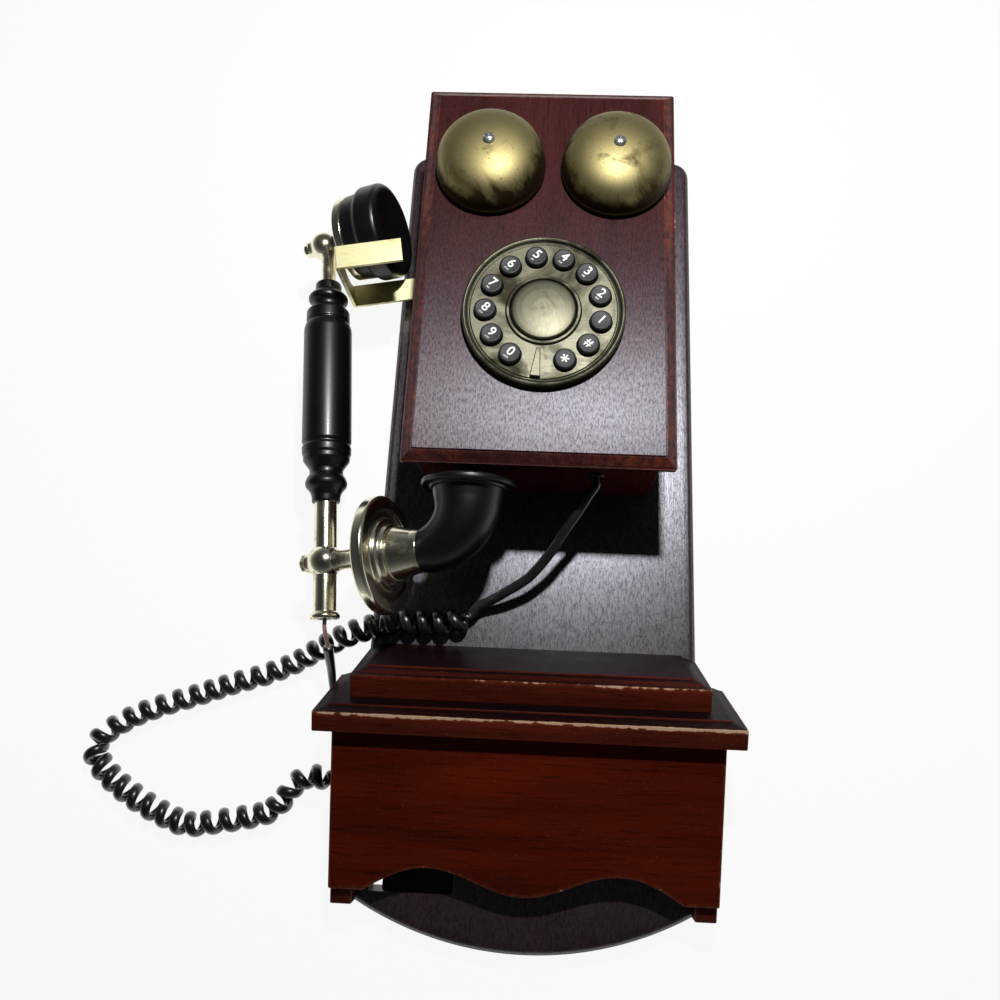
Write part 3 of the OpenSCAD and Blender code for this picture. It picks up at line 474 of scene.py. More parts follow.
# %% Brass finishes
def brass(name, clean, tarnish, rough, blotch, amount, brush=None, fleck=0.0, relief=0.00005, shaded_rim=None):
    """Metal that goes from clean to tarnish by noise. rough is the clean metal's roughness range,
    blotch the scale of the tarnish and amount how much there is. brush stretches the scratches, and
    fleck is the strength of dark spots. Down the heights in shaded_rim, in metres, the colour goes
    over to tarnish: painted shade that darkens the lower sides."""
    f = Finish(name, Metallic=1.0)
    cloud = f.noise(blotch, 5, 0.62, 0.8)
    # Painted shade: below the given heights the colour goes over to tarnish, darkening the lower sides by height
    # alone.
    if shaded_rim:
        cloud = f.sum("ADD", cloud, f.spread(f.height(f.where), 0.3, -0.2, *shaded_rim))
    dull = f.ramp(cloud, (0.62 - amount / 3, 0.0), (0.74 - amount / 4, 1.0))
    colour = f.mix(dull, tint(clean), tint(tarnish))
    if fleck:
        colour = f.mix(f.ramp(f.noise(520, 3, 0.7), (0.64, 0.0), (0.70, fleck)), colour, tint((52, 40, 22)))
    fine = f.noise(1.0, 4, 0.7, 0.0, f.stretched(brush)) if brush else f.noise(700, 4, 0.7)
    colour = f.mix(f.spread(fine, 0.0, 0.35), colour, tint(tarnish))
    f.bump(fine, relief, 0.6)
    return f.surface(colour, f.sum("ADD", f.spread(fine, *rough), f.sum("MULTIPLY", dull, 0.16)))


# Besides their blotchy tarnish, the gongs darken towards the lip by painted shade.
gong_brass = brass("gong_brass", (152, 142, 98), (56, 45, 27), (0.46, 0.58), 40, 0.8, fleck=0.8,
                   shaded_rim=(0.099, 0.119))
dial_brass = brass("dial_brass", (102, 100, 86), (50, 47, 36), (0.4, 0.54), 24, 0.7, brush=(160, 900, 400))
cap_brass = brass("cap_brass", (92, 90, 76), (66, 64, 54), (0.36, 0.5), 26, 0.1, brush=(1400, 200, 400))
strap_brass = brass("strap_brass", (253, 249, 202), (226, 216, 164), (0.5, 0.6), 50, 0.35, brush=(120, 900, 900))
handset_brass = brass("handset_brass", (255, 250, 226), (200, 188, 154), (0.13, 0.24), 70, 0.25, fleck=0.5,
                      relief=0.00002)
screw_steel = brass("screw_steel", (206, 208, 206), (120, 122, 120), (0.25, 0.4), 300, 0.5)
print("metal finishes: 6")

# %% [markdown]
# ## Moulded black, rubber and the parts inside
# The grip, the ear cap and the horn are glossy black with fine scratches and dust, so the gloss
# isn't even. Cord and keys are duller. The parts inside are seen only through openings, and get
# plain finishes of their own.

# %% Moulded finishes
def moulded(name, colour, rough, dust, relief, coat=0.0):
    """Moulded plastic or rubber: a base colour, a film of dust in patches and a fine grain."""
    f = Finish(name, Coat_Weight=coat, Coat_Roughness=0.12)
    patches = f.ramp(f.noise(40, 4, 0.6), (0.45, 0.0), (0.8, dust))
    shade = f.mix(patches, tint(colour), tint([min(255, int(c * 1.3 + 26)) for c in colour]))
    scratches = f.noise(1.0, 3, 0.8, 0.0, f.stretched((150, 1400, 700), (10, 30, 40)))
    shade = f.mix(f.ramp(scratches, (0.68, 0.0), (0.75, 0.2)), shade, tint((120, 118, 116)))
    f.bump(f.noise(1600, 3, 0.6), relief)
    return f.surface(shade, f.spread(patches, rough, rough + 0.3))


black_gloss = moulded("black_gloss", (5, 5, 7), 0.35, 0.1, 0.00003, 0.06)
key_plastic = moulded("key_plastic", (9, 10, 13), 0.56, 0.06, 0.00004)
jack_plastic = moulded("jack_plastic", (8, 8, 9), 0.5, 0.2, 0.00005)
rubber_grey = moulded("rubber_grey", (64, 64, 66), 0.6, 0.3, 0.00008)
digit_white = moulded("digit_white", (226, 226, 224), 0.45, 0.1, 0.00002)
circuit_green = moulded("circuit_green", (24, 84, 48), 0.35, 0.2, 0.00003, 0.4)
capsule_grey = brass("capsule_grey", (150, 150, 150), (96, 96, 98), (0.3, 0.5), 200, 0.4)


def cord_finish():
    """Black vinyl with a satin skin. Up to wire_end it is a pale pink sleeve: the attribute along
    holds the distance in millimetres from the cord's first point."""
    f = Finish("cord_black", Coat_Weight=1.0, Coat_Roughness=0.3)
    sleeve = f.sum("LESS_THAN", f.attribute("along"), float(wire_end - 0.3))
    shades = tint((20, 20, 23)), tint((46, 46, 52))
    black = f.mix(f.ramp(f.noise(120, 3, 0.6), (0.4, 0.0), (0.8, 0.5)), *shades)
    f.bump(f.noise(900, 3, 0.6), 0.00003)
    return f.surface(f.mix(sleeve, black, tint((176, 140, 134))), f.spread(f.noise(80, 3, 0.6), 0.22, 0.42))


print("moulded finishes ready")

# %% The cord as a piece on the cabinet
cord = add_piece("coiled_cord", cord_mesh, "cabinet", "cord_black", cord_finish(),
                 "handset_wire", "cord_boot", "cord_upper_tail", "cord_coil", "cord_lower_tail")
print("cord declared:", len(cord_mesh.vertices), "points")

# %% [markdown]
# ## Light, floor and world
# One small lamp in front of the gongs gives one firm shadow. The world is a grey room, dark
# overhead and brighter at its horizon, which is what the brass and the sides reflect. The floor is
# white to the camera and in reflections, and still takes a soft shadow.

# %% Lamp and world
def lamp(name, size, power, location, target):
    """A square white lamp that faces a target."""
    light = bpy.data.lights.new(name, "AREA")
    light.size, light.energy = size, power
    holder = place(name, light)
    holder.location = location
    way = unit(np.array(target) - location)
    holder.rotation_euler = (acos(-way[2]), 0, atan2(way[0], -way[1]))


def paint_world(*stops):
    """A sky of greys by the height of the view direction: each stop is a height, 0 for straight
    down and 1 for straight up, and a grey."""
    world = bpy.data.worlds.new("grey_room")
    world.use_nodes = True
    bpy.context.scene.world = world
    sky = Nodes(world.node_tree, "Generated")
    bands = [(height, (grey, grey, grey * 1.02, 1)) for height, grey in stops]
    shade = sky.ramp(sky.spread(sky.height(sky.where), 0.0, 1.0, start=-1.0), *bands)
    sky.join(shade, sky.tree.nodes["Background"].inputs["Color"])


lamp("main_lamp", size=0.035, power=4.6, location=(0.047, -0.019, 0.6), target=(0, -0.24, 0))
paint_world((0.0, 0.3), (0.5, 0.3), (0.6, 0.17), (0.78, 0.05), (1.0, 0.014))
print("one lamp and a grey room")

# %% Floor
def lay_floor(half=4.0, drop=-0.0006, glow=0.92):
    """A wide sheet just under the object, white to the camera, to gloss and through glass."""
    mesh = bpy.data.meshes.new("studio_floor")
    corners = [(-half, -half, drop), (half, -half, drop), (half, half, drop), (-half, half, drop)]
    mesh.from_pydata(corners, [], [(0, 1, 2, 3)])
    f = Finish("floor_white", Base_Color=(0.86, 0.86, 0.86, 1), Roughness=0.9, Specular_IOR_Level=0.0)
    seen = f.add("LightPath").outputs
    direct = f.sum("MAXIMUM", seen["Is Camera Ray"], seen["Is Glossy Ray"])
    direct = f.sum("MULTIPLY", f.sum("MAXIMUM", direct, seen["Is Transmission Ray"]), glow)
    white = f.add("Emission", {"Strength": 1.0})
    blend = f.add("MixShader", {0: direct, 1: f.shader.outputs[0], 2: white.outputs[0]})
    f.join(blend.outputs[0], next(n for n in f.tree.nodes if n.type == "OUTPUT_MATERIAL").inputs["Surface"])
    mesh.materials.append(f.material)
    floor = place("studio_floor", mesh)


lay_floor()
print("floor laid")

# %% [markdown]
# ## Boards with moulded edges
# Four boards have a front edge cut with a router bit: one outline drawn again and again, a little
# further in and a little higher. So a board is an outline function of the inset and a list of
# steps: inset, height, and how worn that line is. A bevel modifier couldn't cut the S-shaped
# moulding or mark the worn lines.

# %% Outlines and edge steps
def between(a, b, count):
    """Even points from a to b, without b."""
    t = np.linspace(0, 1, count, endpoint=False)[:, None]
    return np.asarray(a, float) * (1 - t) + np.asarray(b, float) * t


def corner(x, y, radius, start, count=7):
    """A quarter circle about (x, y) from an angle in degrees, with its last point."""
    a = np.radians(start + np.linspace(0, 90, count))
    return np.stack([x + radius * np.cos(a), y + radius * np.sin(a)], 1)


def rectangle(low, high, radius, sides=(24, 40)):
    """An outline function of a rectangle with rounded corners: at an inset its sides move in, and
    its corners keep what is left of the radius."""
    def outline(inset):
        r = max(radius - inset, 0.0)
        x0, y0 = low[0] + inset + r, low[1] + inset + r
        x1, y1 = high[0] - inset - r, high[1] - inset - r
        arcs = [corner(x, y, r, a) for x, y, a in ((x1, y1, 0), (x0, y1, 90), (x0, y0, 180), (x1, y0, 270))]
        return np.vstack([np.vstack([arcs[k], between(arcs[k][-1], arcs[k - 3][0], sides[k % 2])[1:]])
                          for k in range(4)])
    return outline


def moulding(width, depth, low, high, top, back_worn, front_worn, inner_worn, curve_worn=0.25):
    """Steps of a board's edge: a small round at the back, a flat side, an S curve, which is half a
    cosine wave, and a low step up to the face, whose ring goes in by top. The rest is wear."""
    t = np.linspace(0, 1, 13)
    curve = high - depth + (depth - 1) * (1 - np.cos(pi * t)) / 2
    s = np.stack([width * t, curve, curve_worn + 0 * t], 1)
    s[:3, 2] = front_worn * np.array([1, 0.75, 0.4])
    return np.vstack([[(0.8, low, 0), (0.2, low + 0.25, back_worn), (0, low + 0.8, 0),
                       (0, high - depth - 3.2, 0), (0, high - depth - 0.6, front_worn * 0.85)], s,
                      [(width + 0.15, high - 0.3, inner_worn), (width + 0.45, high, inner_worn * 0.7),
                       (top, high, 0)]])


def edge_rings(outline, steps):
    """One ring for each step, as (x, y, height)."""
    return np.stack([at_height(outline(inset), height) for inset, height, _ in steps])


print("outline helpers ready")

# %% [markdown]
# ## The backboard
# One tall board carries everything. Its top corners are small shoulders, its foot is one wide arc,
# and its front edge is rounded over. The nail hole at the top and the window low on the left are
# cut with a boolean, because a grid of rings can't have two holes off its middle.

# %% Backboard
def backboard_outline(inset):
    """Shoulders of radius 12 at the top, straight sides and an arc of radius 206 at the foot."""
    w, rise, r, arc, mid = 100.5, 20, 12, 206, -296
    half = w - inset
    x = np.linspace(-half, half, 90)
    foot = np.stack([x, mid - np.sqrt((arc - inset) ** 2 - x**2)], 1)
    return np.vstack([corner(w - r, rise - r, r - inset, 0, 9), corner(-w + r, rise - r, r - inset, 90, 9),
                      between((-half, rise - r), foot[0], 24)[1:], foot,
                      between(foot[-1], (half, rise - r), 24)[1:]])


def carve(mesh, cutters):
    """The mesh less each cutter, with exact booleans, as a new mesh."""
    body = place("carved", mesh)
    tools = [place("cutter", c) for c in cutters]
    for tool in tools:
        cut = body.modifiers.new("cut", "BOOLEAN")
        cut.object = tool
        cut.operation = "DIFFERENCE"
        cut.solver = "EXACT"
    result = bpy.data.meshes.new_from_object(body.evaluated_get(bpy.context.evaluated_depsgraph_get()))
    result.name = mesh.name
    for thing in tools + [body]:
        bpy.data.objects.remove(thing)
    return settle(result)


def bar(ring, low, high, matrix=np.eye(4)):
    """A bar along z on a flat ring, used only as a cutter."""
    return skin("cutter", carry(np.stack([at_height(ring, z) for z in (low, high)]), matrix))


def prism(low, high):
    """A box between two corners in millimetres."""
    return bar(rectangle(low[:2], high[:2], 0.0, (1, 1))(0), low[2], high[2])


def rod(radius, low, high, matrix, sides=48):
    """A round bar from low to high."""
    a = round_angles(sides)
    return bar(np.stack([radius * np.cos(a), radius * np.sin(a)], 1), low, high, matrix)


q = np.radians(np.linspace(0, 90, 9))
front_round = np.stack([4.5 * (1 - np.cos(q)), 9 + 6 * np.sin(q), 0.45 * np.sin(2 * q)], 1)
steps = np.vstack([[(0.8, 0, 0), (0, 0.8, 0.1), (0, 8, 0)], front_round, [(7.5, 15, 0)]])
backboard_mesh = skin("backboard_board", edge_rings(backboard_outline, steps), worn=steps[:, 2])
line_window, nail_hole = prism((-88, -472, -2), (-40, -446, 17)), rod(2.5, -2, 17, shift_by(0, 10, 0))
backboard_mesh = carve(backboard_mesh, [line_window, nail_hole])
add_piece("backboard_board", backboard_mesh, "cabinet", "red_wood", backboard_wood, "backboard")
print("backboard faces:", len(backboard_mesh.polygons))

# %% [markdown]
# ## The case and its front panel
# The case is a plain box of four walls. Its front panel overlaps them and has the S-shaped moulding
# all round. The dial sits in a round hole, so rings go from the rectangle to the circle: each
# point of the circle lies on the line from the dial's middle to its partner on the rectangle.

# %% Front panel
def panel_rings():
    """Rings from the well's back edge over the face and round the moulding to the back."""
    outline = rectangle((-75.75, -239.5), (75.75, 3.8), 1.4, (40, 64))
    steps = moulding(6.5, 4.5, 90, 98, 9.5, back_worn=0.4, front_worn=0.85, inner_worn=0.9, curve_worn=0.72)[::-1]
    outer = edge_rings(outline, steps)
    centre = np.array([0, -150.5])
    way = unit(outer[0][:, :2] - centre)
    hole = np.stack([at_height(centre + way * r, z) for r, z in ((42.0, 90), (42.0, 97.7), (42.3, 98))])
    face = np.stack([hole[-1] * (1 - t) + outer[0] * t for t in (0.1, 0.3, 0.6, 0.85)])
    worn = np.concatenate([np.zeros(7), steps[:, 2]])
    return np.vstack([hole, face, outer]), worn


rings, worn = panel_rings()
panel_mesh = skin("front_panel_board", rings, loop=True, worn=worn)
add_piece("front_panel_board", panel_mesh, "cabinet", "dark_wood", panel_wood, "front_panel")
print("front panel faces:", len(panel_mesh.polygons))

# %% [markdown]
# ## Softened copies of the CAD solids
# Small plain solids already have the right shape, and only lack the tiny rounding that catches
# light along a real edge. Their mesh is copied, its flat triangles are melted into whole faces, and
# a bevel rounds what is left of the sharp edges.

# %% Softened copies
def softened(node, body, slot, finish, width, segments=2):
    """A rounded copy of one CAD node, in that node's place. width is the rounding in millimetres."""
    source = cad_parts[node].data
    mesh = bpy.data.meshes.new(node + "_soft")
    mesh.from_pydata(points_of(source), [], [tuple(p.vertices) for p in source.polygons])
    with editing(mesh) as shell:
        bmesh.ops.remove_doubles(shell, verts=shell.verts, dist=3e-6)
        bmesh.ops.dissolve_limit(shell, angle_limit=radians(1), verts=shell.verts, edges=shell.edges)
    piece = add_piece(mesh.name, shaded(mesh), body, slot, finish, node)
    rounding = piece.modifiers.new("rounding", "BEVEL")
    rounding.width = width * MM
    rounding.segments = segments
    rounding.limit_method = "ANGLE"
    rounding.angle_limit = radians(40)


for node, width in (("case_left_side", 0.5), ("case_right_side", 0.5), ("case_top", 0.5), ("case_bottom", 0.5),
                    ("desk_left_cheek", 0.8), ("desk_right_cheek", 0.8)):
    softened(node, "cabinet", "red_wood", case_wood, width)
print("case walls and cheeks softened")

# %% [markdown]
# ## The sloping desk
# The lid is a thick board with the same kind of moulding, and a narrower board stands on it as a
# rest for a note pad. Both are drawn whole in the lid's frame and cut off at the backboard.

# %% Lid and raised panel
def cut_at_board(mesh, height=15 * MM):
    """Takes away what lies behind the backboard's face and closes the cut."""
    with editing(mesh) as shell:
        everything = shell.verts[:] + shell.edges[:] + shell.faces[:]
        bmesh.ops.bisect_plane(shell, geom=everything, dist=1e-7, plane_co=(0, 0, height), plane_no=(0, 0, 1),
                               clear_inner=True)
    return settle(mesh)


def desk_board(name, node, half, front, low, high, edge, edge_depth, front_worn, run=97.9):
    """A moulded board in the lid's frame: x across, u up out of the lid, f towards the front. Its
    front edge is knocked, and more so towards the right."""
    steps = moulding(edge, edge_depth, low, high, edge + 3, 0.5, front_worn, 0.25)
    flat = edge_rings(rectangle((-half, front - run), (half, front), 1.0, (60, 30)), steps)
    knocked = np.where(flat[..., 1] > front - 1.5, 1 + 0.25 * flat[..., 0] / half, 0.6)
    mesh = cut_at_board(skin(name, carry(flat[..., [0, 2, 1]], DESK), worn=steps[:, 2:] * knocked))
    add_piece(name, mesh, "cabinet", "dark_wood", lid_wood, node)


desk_board("desk_lid", "desk_slab", 115.5, 0, -13.3, 0, 7, 2.5, 1.2)
desk_board("note_pad_rest", "desk_raised_panel", 99.5, -17, 0, 16.2, 8, 3.5, 0.8)
print("lid and rest made")

# %% [markdown]
# ## The apron
# The board under the lid is sawn to a double scallop. It is one section, a thin rectangle with a
# rounded lower edge, carried along x. Only the height of its lower end changes, by a cosine near
# the middle and a quarter sine near the ends.

# %% Apron
def scallop(x):
    """Height of the sawn edge at a distance x from the middle, in millimetres."""
    s = np.abs(x)
    wave = 14 * (1 - np.cos(pi * s / 53)) / 2
    end = 14 * np.sin(pi / 2 * np.clip((88 - s) / 35, 0, 1))
    return np.where(s < 53, wave, end)


def apron_rings(thick=5, rounding=1.2):
    """A section ring at each x: down the front, round the foot, up the back."""
    x = np.concatenate([[-107, -106.8, -106.2, -104.5], np.linspace(-103, 103, 207), [104.5, 106.2, 106.8, 107]])
    end = np.clip((np.abs(x) - 106.2) / 0.8, 0, 1) ** 2 * 0.7
    low = -91 + scallop(x)
    quarter = np.radians(np.linspace(0, 90, 5))
    rows = [(low * v, -end, worn) for v, worn in ((0.0, 0.1), (0.5, 0.0), (0.93, 0.0))]
    rows += [(low + rounding * (1 - np.sin(a)), -rounding * (1 - np.cos(a)) - end, 0.85) for a in quarter]
    rows += [(low + rounding * (1 - np.cos(a)), -thick + rounding * (1 - np.sin(a)) + end, 0.4) for a in quarter]
    rows += [(low * v, -thick + end, 0.0) for v in (0.93, 0.5, 0.0)]
    grid = np.stack([np.stack([x, v, z], 1) for v, z, worn in rows], 1)
    worn = np.array([[worn for v, z, worn in rows]])
    return grid, np.maximum(worn, np.where(np.abs(x) > 106, 0.8, 0.0)[:, None])


APRON = shift_by(0, -380.82, 59.99) @ turn_about("x", 17)
rings, worn = apron_rings()
apron_mesh = skin("scalloped_apron", carry(rings, APRON), worn=worn)
add_piece("scalloped_apron", apron_mesh, "cabinet", "red_wood", apron_wood, "desk_apron")
print("apron faces:", len(apron_mesh.polygons))

# %% [markdown]
# ## Turned and spun pieces
# Gongs, caps, the handset's fittings and its grip are round about one axis. Each is a profile of
# radius and height, turned once round, after each of its corners is swapped for a short curve, a
# quadratic Bezier between points on its two sides.

# %% Lathe
def soften(profile, radius=0.4, closed=False):
    """The profile with each corner p swapped for six points of (1-t)^2 a + 2t(1-t) p + t^2 b, where
    a and b lie on its two sides, at most the radius away."""
    p = np.asarray(profile, float)

    def towards(q):
        length = np.linalg.norm(q - p, axis=1, keepdims=True)
        return p + (q - p) / np.maximum(length, 1e-9) * np.minimum(radius, 0.45 * length)

    a, b = towards(np.roll(p, 1, 0)), towards(np.roll(p, -1, 0))
    t = np.linspace(0, 1, 6)[None, :, None]
    curve = (1 - t) ** 2 * a[:, None] + 2 * t * (1 - t) * p[:, None] + t**2 * b[:, None]
    return curve.reshape(-1, 2) if closed else np.vstack([p[:1], curve[1:-1].reshape(-1, 2), p[-1:]])


def lathe(name, profile, matrix, sides=96, closed=False, round_off=0.4):
    """Radius and height pairs turned about z: (r cos a, r sin a, h), then carried by a matrix."""
    shape = soften(profile, round_off, closed) if round_off else np.asarray(profile, float)
    a = round_angles(sides)
    r, h = shape[:, :1], shape[:, 1:]
    rings = np.stack([r * np.cos(a), r * np.sin(a), h + 0 * a], -1)
    return skin(name, carry(rings, matrix), loop=closed)


def turned_piece(name, node, kit, profile, matrix, sides, **how):
    """A turned piece in place of one CAD node. kit is its body, slot and finish."""
    add_piece(name, lathe(name, profile, matrix, sides, **how), *kit, node)


HAND_BRASS = "handset", "handset_brass", handset_brass
HAND_BLACK = "handset", "black_gloss", black_gloss
SCREW, POST = ("cabinet", "bright_brass", screw_steel), ("cabinet", "bright_brass", handset_brass)
GONG, DIAL_METAL, CAP_METAL = (("cabinet", "old_brass", metal) for metal in (gong_brass, dial_brass, cap_brass))
print("lathe ready")

# %% [markdown]
# ## Gongs
# Each gong is a deep brass cup held by one screw. The dome is fuller than a sphere's: radius
# 32 sin a, height 22.5 times the power 0.68 of cos a, and its lip turns out by a hair. The inside
# is the same curve, one wall thickness in.

# %% Gongs and their screws
def gong_profile():
    """From the top's middle over the dome, round the lip and back up inside."""
    a = np.radians(np.linspace(0, 90, 46))
    outside, inside = (np.stack([r * np.sin(a), h * np.cos(a) ** 0.68], 1)
                       for r, h in ((32.0, 22.5), (31.2, 20.9)))
    lip = [(32.5, 0.9), (32.8, 0.5), (32.8, -0.1), (32.5, -0.4), (31.5, -0.4), (31.2, 0.0)]
    return np.vstack([outside[:-1], lip, inside[::-1][1:]])


for side, x in (("left", -34.7), ("right", 39.9)):
    at_gong = shift_by(x, -55, 101)
    turned_piece("gong_cup_" + side, "gong_" + side, GONG, gong_profile(), at_gong, 160, round_off=0)
    softened("gong_screw_" + side, *SCREW, 0.15)
    softened("gong_post_" + side, *POST, 0.3)
print("gongs made")

# %% [markdown]
# ## The dial plate and its keys
# It looks like a rotary dial, but the plate is fixed, and twelve round keys stand where the finger
# holes would be. Each key is a turned cap with a dished top, on a body of its own, so that it can be
# pressed. The digits are text turned into a mesh, a tenth of a millimetre thick, and ride on it.

# %% Dial plate, cap and finger stop
softened("dial_plate", *DIAL_METAL, 0.22)
softened("finger_stop", *DIAL_METAL, 0.5, 3)
cap_profile = [(0, 4), (18.5, 4), (18.5, 5.2), (17.7, 5.9), (15.5, 6.25), (12, 6.6), (6, 6.92), (0, 7)]
turned_piece("dial_cap", "dial_centre_cap", CAP_METAL, cap_profile, DIAL, 120, round_off=0.6)
print("dial plate dressed")

# %% Keys and digits
FIRST_KEY, PLACES, DIGIT_TURN = -11.7, 13, -40
LETTERS = ["", "ABC", "DEF", "GHI", "JKL", "MNO", "PRS", "TUV", "WXY", "OPER"]
KEYS = [("key_" + digit, place_no, digit, LETTERS[place_no]) for place_no, digit in enumerate("1234567890")]
KEYS += [("key_star", 11, "*", ""), ("key_hash", 12, "#", "")]
KEY_PROFILE = [(0, -2.3), (2.4, -2.3), (2.4, 0.5), (7.2, 0.5), (7.2, 1.5), (6.2, 1.5), (6.2, 6.7), (5.7, 7.35),
               (5.0, 7.6), (4.4, 7.48), (2.4, 7.33), (0, 7.28)]


def lettering(text, size, drop):
    """Points and faces of a text in millimetres, middled on its own origin and moved by drop."""
    curve = bpy.data.curves.new("lettering", "FONT")
    curve.body, curve.size, curve.offset, curve.extrude = text, size, 0.014 * size, 0.09
    curve.align_x = curve.align_y = "CENTER"
    holder = place("lettering", curve)
    mesh = bpy.data.meshes.new_from_object(holder.evaluated_get(bpy.context.evaluated_depsgraph_get()))
    points, faces = points_of(mesh), [tuple(p.vertices) for p in mesh.polygons]
    bpy.data.objects.remove(holder)
    bpy.data.meshes.remove(mesh)
    return points + [0, drop, 0], faces


for node, place_no, digit, letters in KEYS:
    angle = FIRST_KEY + 360 / PLACES * place_no
    at_key = DIAL @ turn_about("z", angle) @ shift_by(33, 0, 0)
    turned_piece(node + "_cap", node, (node, "key_plastic", key_plastic), KEY_PROFILE, at_key, 56, round_off=0.35)
    upright = at_key @ turn_about("z", DIGIT_TURN - angle) @ shift_by(0, 0, 7.38)
    size, drop = {"*": (10.5, -2.2), "#": (7.0, 0.2)}.get(digit, (7.7, 0.75 if letters else 0.2))
    points, faces = lettering(digit, size, drop)
    if letters:
        small, small_faces = lettering(letters, 1.35, -3.3)
        faces += [tuple(i + len(points) for i in f) for f in small_faces]
        points = np.vstack([points, small])
    mark = bpy.data.meshes.new(node + "_mark")
    mark.from_pydata(carry(points, upright) * MM, [], faces)
    add_piece(node + "_mark", mark, node, "key_plastic", digit_white)
print("keys made:", len(KEYS))

# %% [markdown]
# ## The hook
# The hook is one flat brass strap, bent to a fork. It comes out through a slot in the case's side,
# and the ear cup hangs in it. Its solid has the right shape, so only its edges are rounded.

# %% Hook, bracket and pin
softened("hook_strap", "hook", "strap_brass", strap_brass, 0.45, 3)
softened("hook_bracket", "cabinet", "strap_brass", strap_brass, 0.2)
softened("hook_pivot_pin", *POST, 0.25)
print("hook dressed")

# %% [markdown]
# ## The handset
# A brass tube runs through a turned black grip. Its top end carries the receiver: a ball clamp, a
# domed shell and a black ear cup. Its lower end carries the speaking part: a ball clamp with a
# trumpet arm, a stepped disc, a cone neck and the horn. All but the horn are turned.

# %% Tube and grip
GRIP_TOP, GRIP_L = 28.8, 146.5
tube_profile = [(0, -244.5), (8.3, -244.5), (8.8, -243.5), (8.8, -242.5), (7.9, -241.1), (6.7, -240.3),
                (6.7, -163.3), (4.6, -163.3), (4.6, 2.6), (4.2, 3), (0, 3)]
turned = [(0, 0), (7.6, 0), (8.1, 1), (8.3, 6.5), (10.8, 8), (12.4, 10), (12.2, 12.4), (10, 14.6), (9.4, 16.6),
          (9.8, 18.4), (12.6, 19.6), (13.4, 20.4), (13.4, 26.8), (12.9, 27.2), (12.9, 28.2), (14.2, 30), (14.8, 33),
          (14.8, 106), (14.0, 107.2), (14.0, 108.4), (14.8, 109.4), (14.6, 113.6), (13.9, 114.4), (13.9, 117.5),
          (11.6, 120.6), (9.9, 123), (9.9, 126), (11.6, 128.6), (12.5, 131.2), (12, 133.6), (9.6, 136.2),
          (8.5, 139), (8.2, 143), (0, 143)]
grip_profile = [(r, -GRIP_TOP - h * GRIP_L / 143) for r, h in turned]
turned_piece("handset_rod", "handset_tube", HAND_BRASS, tube_profile, HANDSET @ ALONG_Y, 72)
turned_piece("turned_grip", "handset_grip", HAND_BLACK, grip_profile, HANDSET @ ALONG_Y, 112, round_off=0.9)
softened("handset_bush", "handset", "rubber_grey", rubber_grey, 0.2)
print("tube and grip made")

# %% Ball clamps
def ball_arm(radius, centre, boss, boss_end, arm):
    """Profile along the clamp's axis: a boss, a ball r cos a, r sin a about centre, then its arm."""
    a = np.linspace(pi - asin(boss / radius), asin(arm[0][0] / radius), 25)
    ball = np.stack([radius * np.sin(a), centre + radius * np.cos(a)], 1)
    tip = [(0, boss_end), (boss - 0.4, boss_end), (boss, boss_end + 0.4)]
    return np.vstack([tip, ball, arm, [(0, arm[-1][1])]])


receiver_arm = [(6.14, 4.6), (5.7, 6.2), (5.8, 8.0), (7.0, 9.6), (8.0, 10.3)]
horn_arm = [(6.9, 8.2), (6.1, 10.4), (5.8, 13), (6.1, 16.5), (6.9, 19.6), (7.6, 21.5)]
for name, node, profile, frame_of in (
        ("receiver_ball", "receiver_clamp", ball_arm(9.3, -3, 5.2, -13.5, receiver_arm), HANDSET),
        ("horn_ball", "transmitter_clamp", ball_arm(10.4, 0, 5.8, -11.6, horn_arm), DOWN_TO_HORN)):
    turned_piece(name, node, HAND_BRASS, profile, frame_of @ ALONG_X, 72, round_off=0.15)
for node in ("receiver_nut", "transmitter_nut"):
    softened(node, *HAND_BRASS, 0.35, 3)
print("clamps made")

# %% Receiver
shell_profile = [(0, 10.3), (7, 10.3), (9, 11.3), (13.5, 11.9), (17.5, 13.1), (21, 14.9), (25, 16.5), (26, 16.7),
                 (26, 22), (0, 22)]
ear_profile = [(21.06, 22), (25.4, 22), (26, 22.6), (26.6, 31), (28.6, 32.5), (29.2, 34), (29.2, 44.4), (28.4, 46.2),
               (26.8, 47), (24.7, 47), (20, 45.6), (14, 43.9), (7, 42.8), (0, 42.5), (0, 40), (21.06, 40)]
turned_piece("receiver_dome", "receiver_shell", HAND_BRASS, shell_profile, HANDSET @ ALONG_X, 120, round_off=1.0)
ear = lathe("ear_cup", ear_profile, HANDSET @ ALONG_X, 120, closed=True, round_off=0.7)
aside = [shift_by(0, 0, 5)] * 6 + [shift_by(0, 0, 0)]
ear = carve(ear, [rod(1.2, 38, 48, HANDSET @ turn_about("x", k * 60) @ move @ ALONG_X, 20)
                  for k, move in enumerate(aside)])
add_piece("ear_cup", ear, *HAND_BLACK, "receiver_cap")
softened("receiver_capsule", "handset", "capsule_metal", capsule_grey, 0.4)
print("receiver made:", len(ear.polygons), "faces in the ear cup")

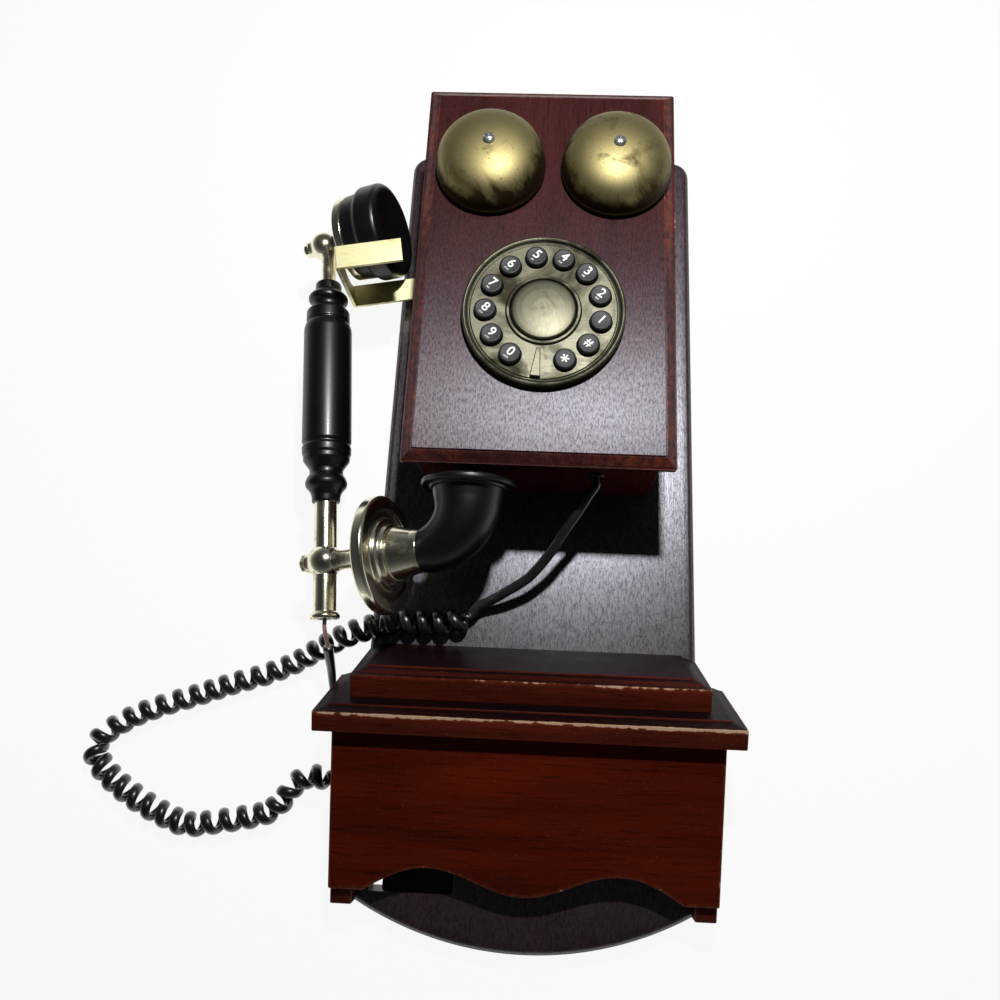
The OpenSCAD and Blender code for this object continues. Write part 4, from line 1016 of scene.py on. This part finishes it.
# %% Disc and neck
disc_profile = [(0, 21.5), (7.6, 21.5), (8.6, 24.5), (11, 27.9), (15, 30.1), (20, 31.5), (28.2, 33.1), (32.6, 34.3),
                (34.2, 35.5), (34.2, 40.5), (33, 41.9), (26.2, 42.1), (24.8, 40.3), (21.6, 40.3), (20.8, 42.3),
                (19.4, 43.1), (17.8, 42.5), (16.8, 45.5), (13.05, 45.5), (13.05, 37.5), (0, 37.5)]
neck_profile = [(10, 45.5), (15.7, 45.5), (15.5, 47.5), (14.0, 53.5), (12.8, 58.5), (12.3, 63), (10, 63)]
at_horn = DOWN_TO_HORN @ ALONG_X
turned_piece("stepped_disc", "transmitter_disc", HAND_BRASS, disc_profile, at_horn, 128, round_off=0.7)
turned_piece("cone_neck", "transmitter_neck", HAND_BRASS, neck_profile, at_horn, 96, closed=True, round_off=0.6)
softened("microphone_capsule", "handset", "capsule_metal", capsule_grey, 0.3)
print("disc and neck made")

# %% [markdown]
# ## The speaking horn
# The horn was the hardest part to make: a hollow elbow that widens as it turns up to the mouth. A
# circle is carried along an arc for 82 parts in 100 of its way and then a short straight, and its
# radius grows with the power 0.8 of the way. The inner wall is the same tube, 2.3 mm smaller.

# %% Horn and its rim
def horn_way(t, turn=84.5, bend=28, straight=6, start=63):
    """Middle points and direction of the horn in the plane of its bend, at shares t of its way."""
    a = np.radians(turn * np.minimum(t / 0.82, 1))
    s = straight * np.maximum(0, t - 0.82) / 0.18
    middle = np.stack([start + bend * np.sin(a) + s * np.cos(a), bend * (1 - np.cos(a)) + s * np.sin(a)], 1)
    return middle, a


def horn_tube(t, wall):
    """Rings of radius 12.3 + 8.2 t^0.8 less the wall, square to the way at each share."""
    middle, a = horn_way(t)
    r, a, j = (12.3 + 8.2 * t**0.8 - wall)[:, None], a[:, None], round_angles(96)[None]
    q = r * np.cos(j)
    return np.stack([middle[:, :1] - q * np.sin(a), middle[:, 1:] + q * np.cos(a), r * np.sin(j)], -1)


share = np.linspace(0, 1, 56)
horn_rings = np.vstack([horn_tube(share, 0.0), horn_tube(share[::-1], 2.3)])
horn_mesh = skin("speaking_horn", carry(horn_rings, DOWN_TO_HORN), loop=True)
add_piece("speaking_horn", horn_mesh, *HAND_BLACK, "mouthpiece_horn")
end, _ = horn_way(np.array([1.0]))
HORN_END = DOWN_TO_HORN @ shift_by(end[0, 0], end[0, 1], 0) @ turn_about("z", 84.5) @ ALONG_X
rim_profile = [(18.2, 0), (21.9, 0), (22.5, 1.6), (24, 1.8), (26.2, 1), (27, 1.8), (27, 4), (26, 5), (21, 5),
               (21.5, 3.4), (18.2, 2)]
turned_piece("horn_flange", "horn_rim", HAND_BLACK, rim_profile, HORN_END, 128, closed=True, round_off=0.5)
print("horn faces:", len(horn_mesh.polygons))

# %% [markdown]
# ## What is left of the inside
# The keypad's mat and board, the main board, the line socket and the cord's grommet keep their
# solids. Each gets its finish, and the ones that can be seen get rounded edges.

# %% Inner pieces
socket_steps = [(0.5, 0.5, 0), (0, 1, 0), (0, 14, 0), (0.6, 14.5, 0), (4, 14.5, 0)]
socket_rings = edge_rings(rectangle((-80.5, -471.7), (-40.3, -446.3), 1.2, (8, 6)), socket_steps)
socket_mesh = carve(skin("line_socket", socket_rings), [prism((-63, -475, 3.5), (-51, -459, 11.5))])
add_piece("line_socket", socket_mesh, "cabinet", "jack_plastic", jack_plastic, "line_jack")
softened("cord_grommet", "cabinet", "rubber_grey", jack_plastic, 0.4)
softened("keypad_mat", "cabinet", "rubber_grey", rubber_grey, 0.3)
softened("keypad_board", "cabinet", "circuit_board", circuit_green, 0.1, 1)
softened("main_board", "cabinet", "circuit_board", circuit_green, 0.15, 1)
print("inner pieces dressed")

# %% Count of pieces and faces
print("pieces:", len(made), "faces:", sum(len(p.data.polygons) for p in made))
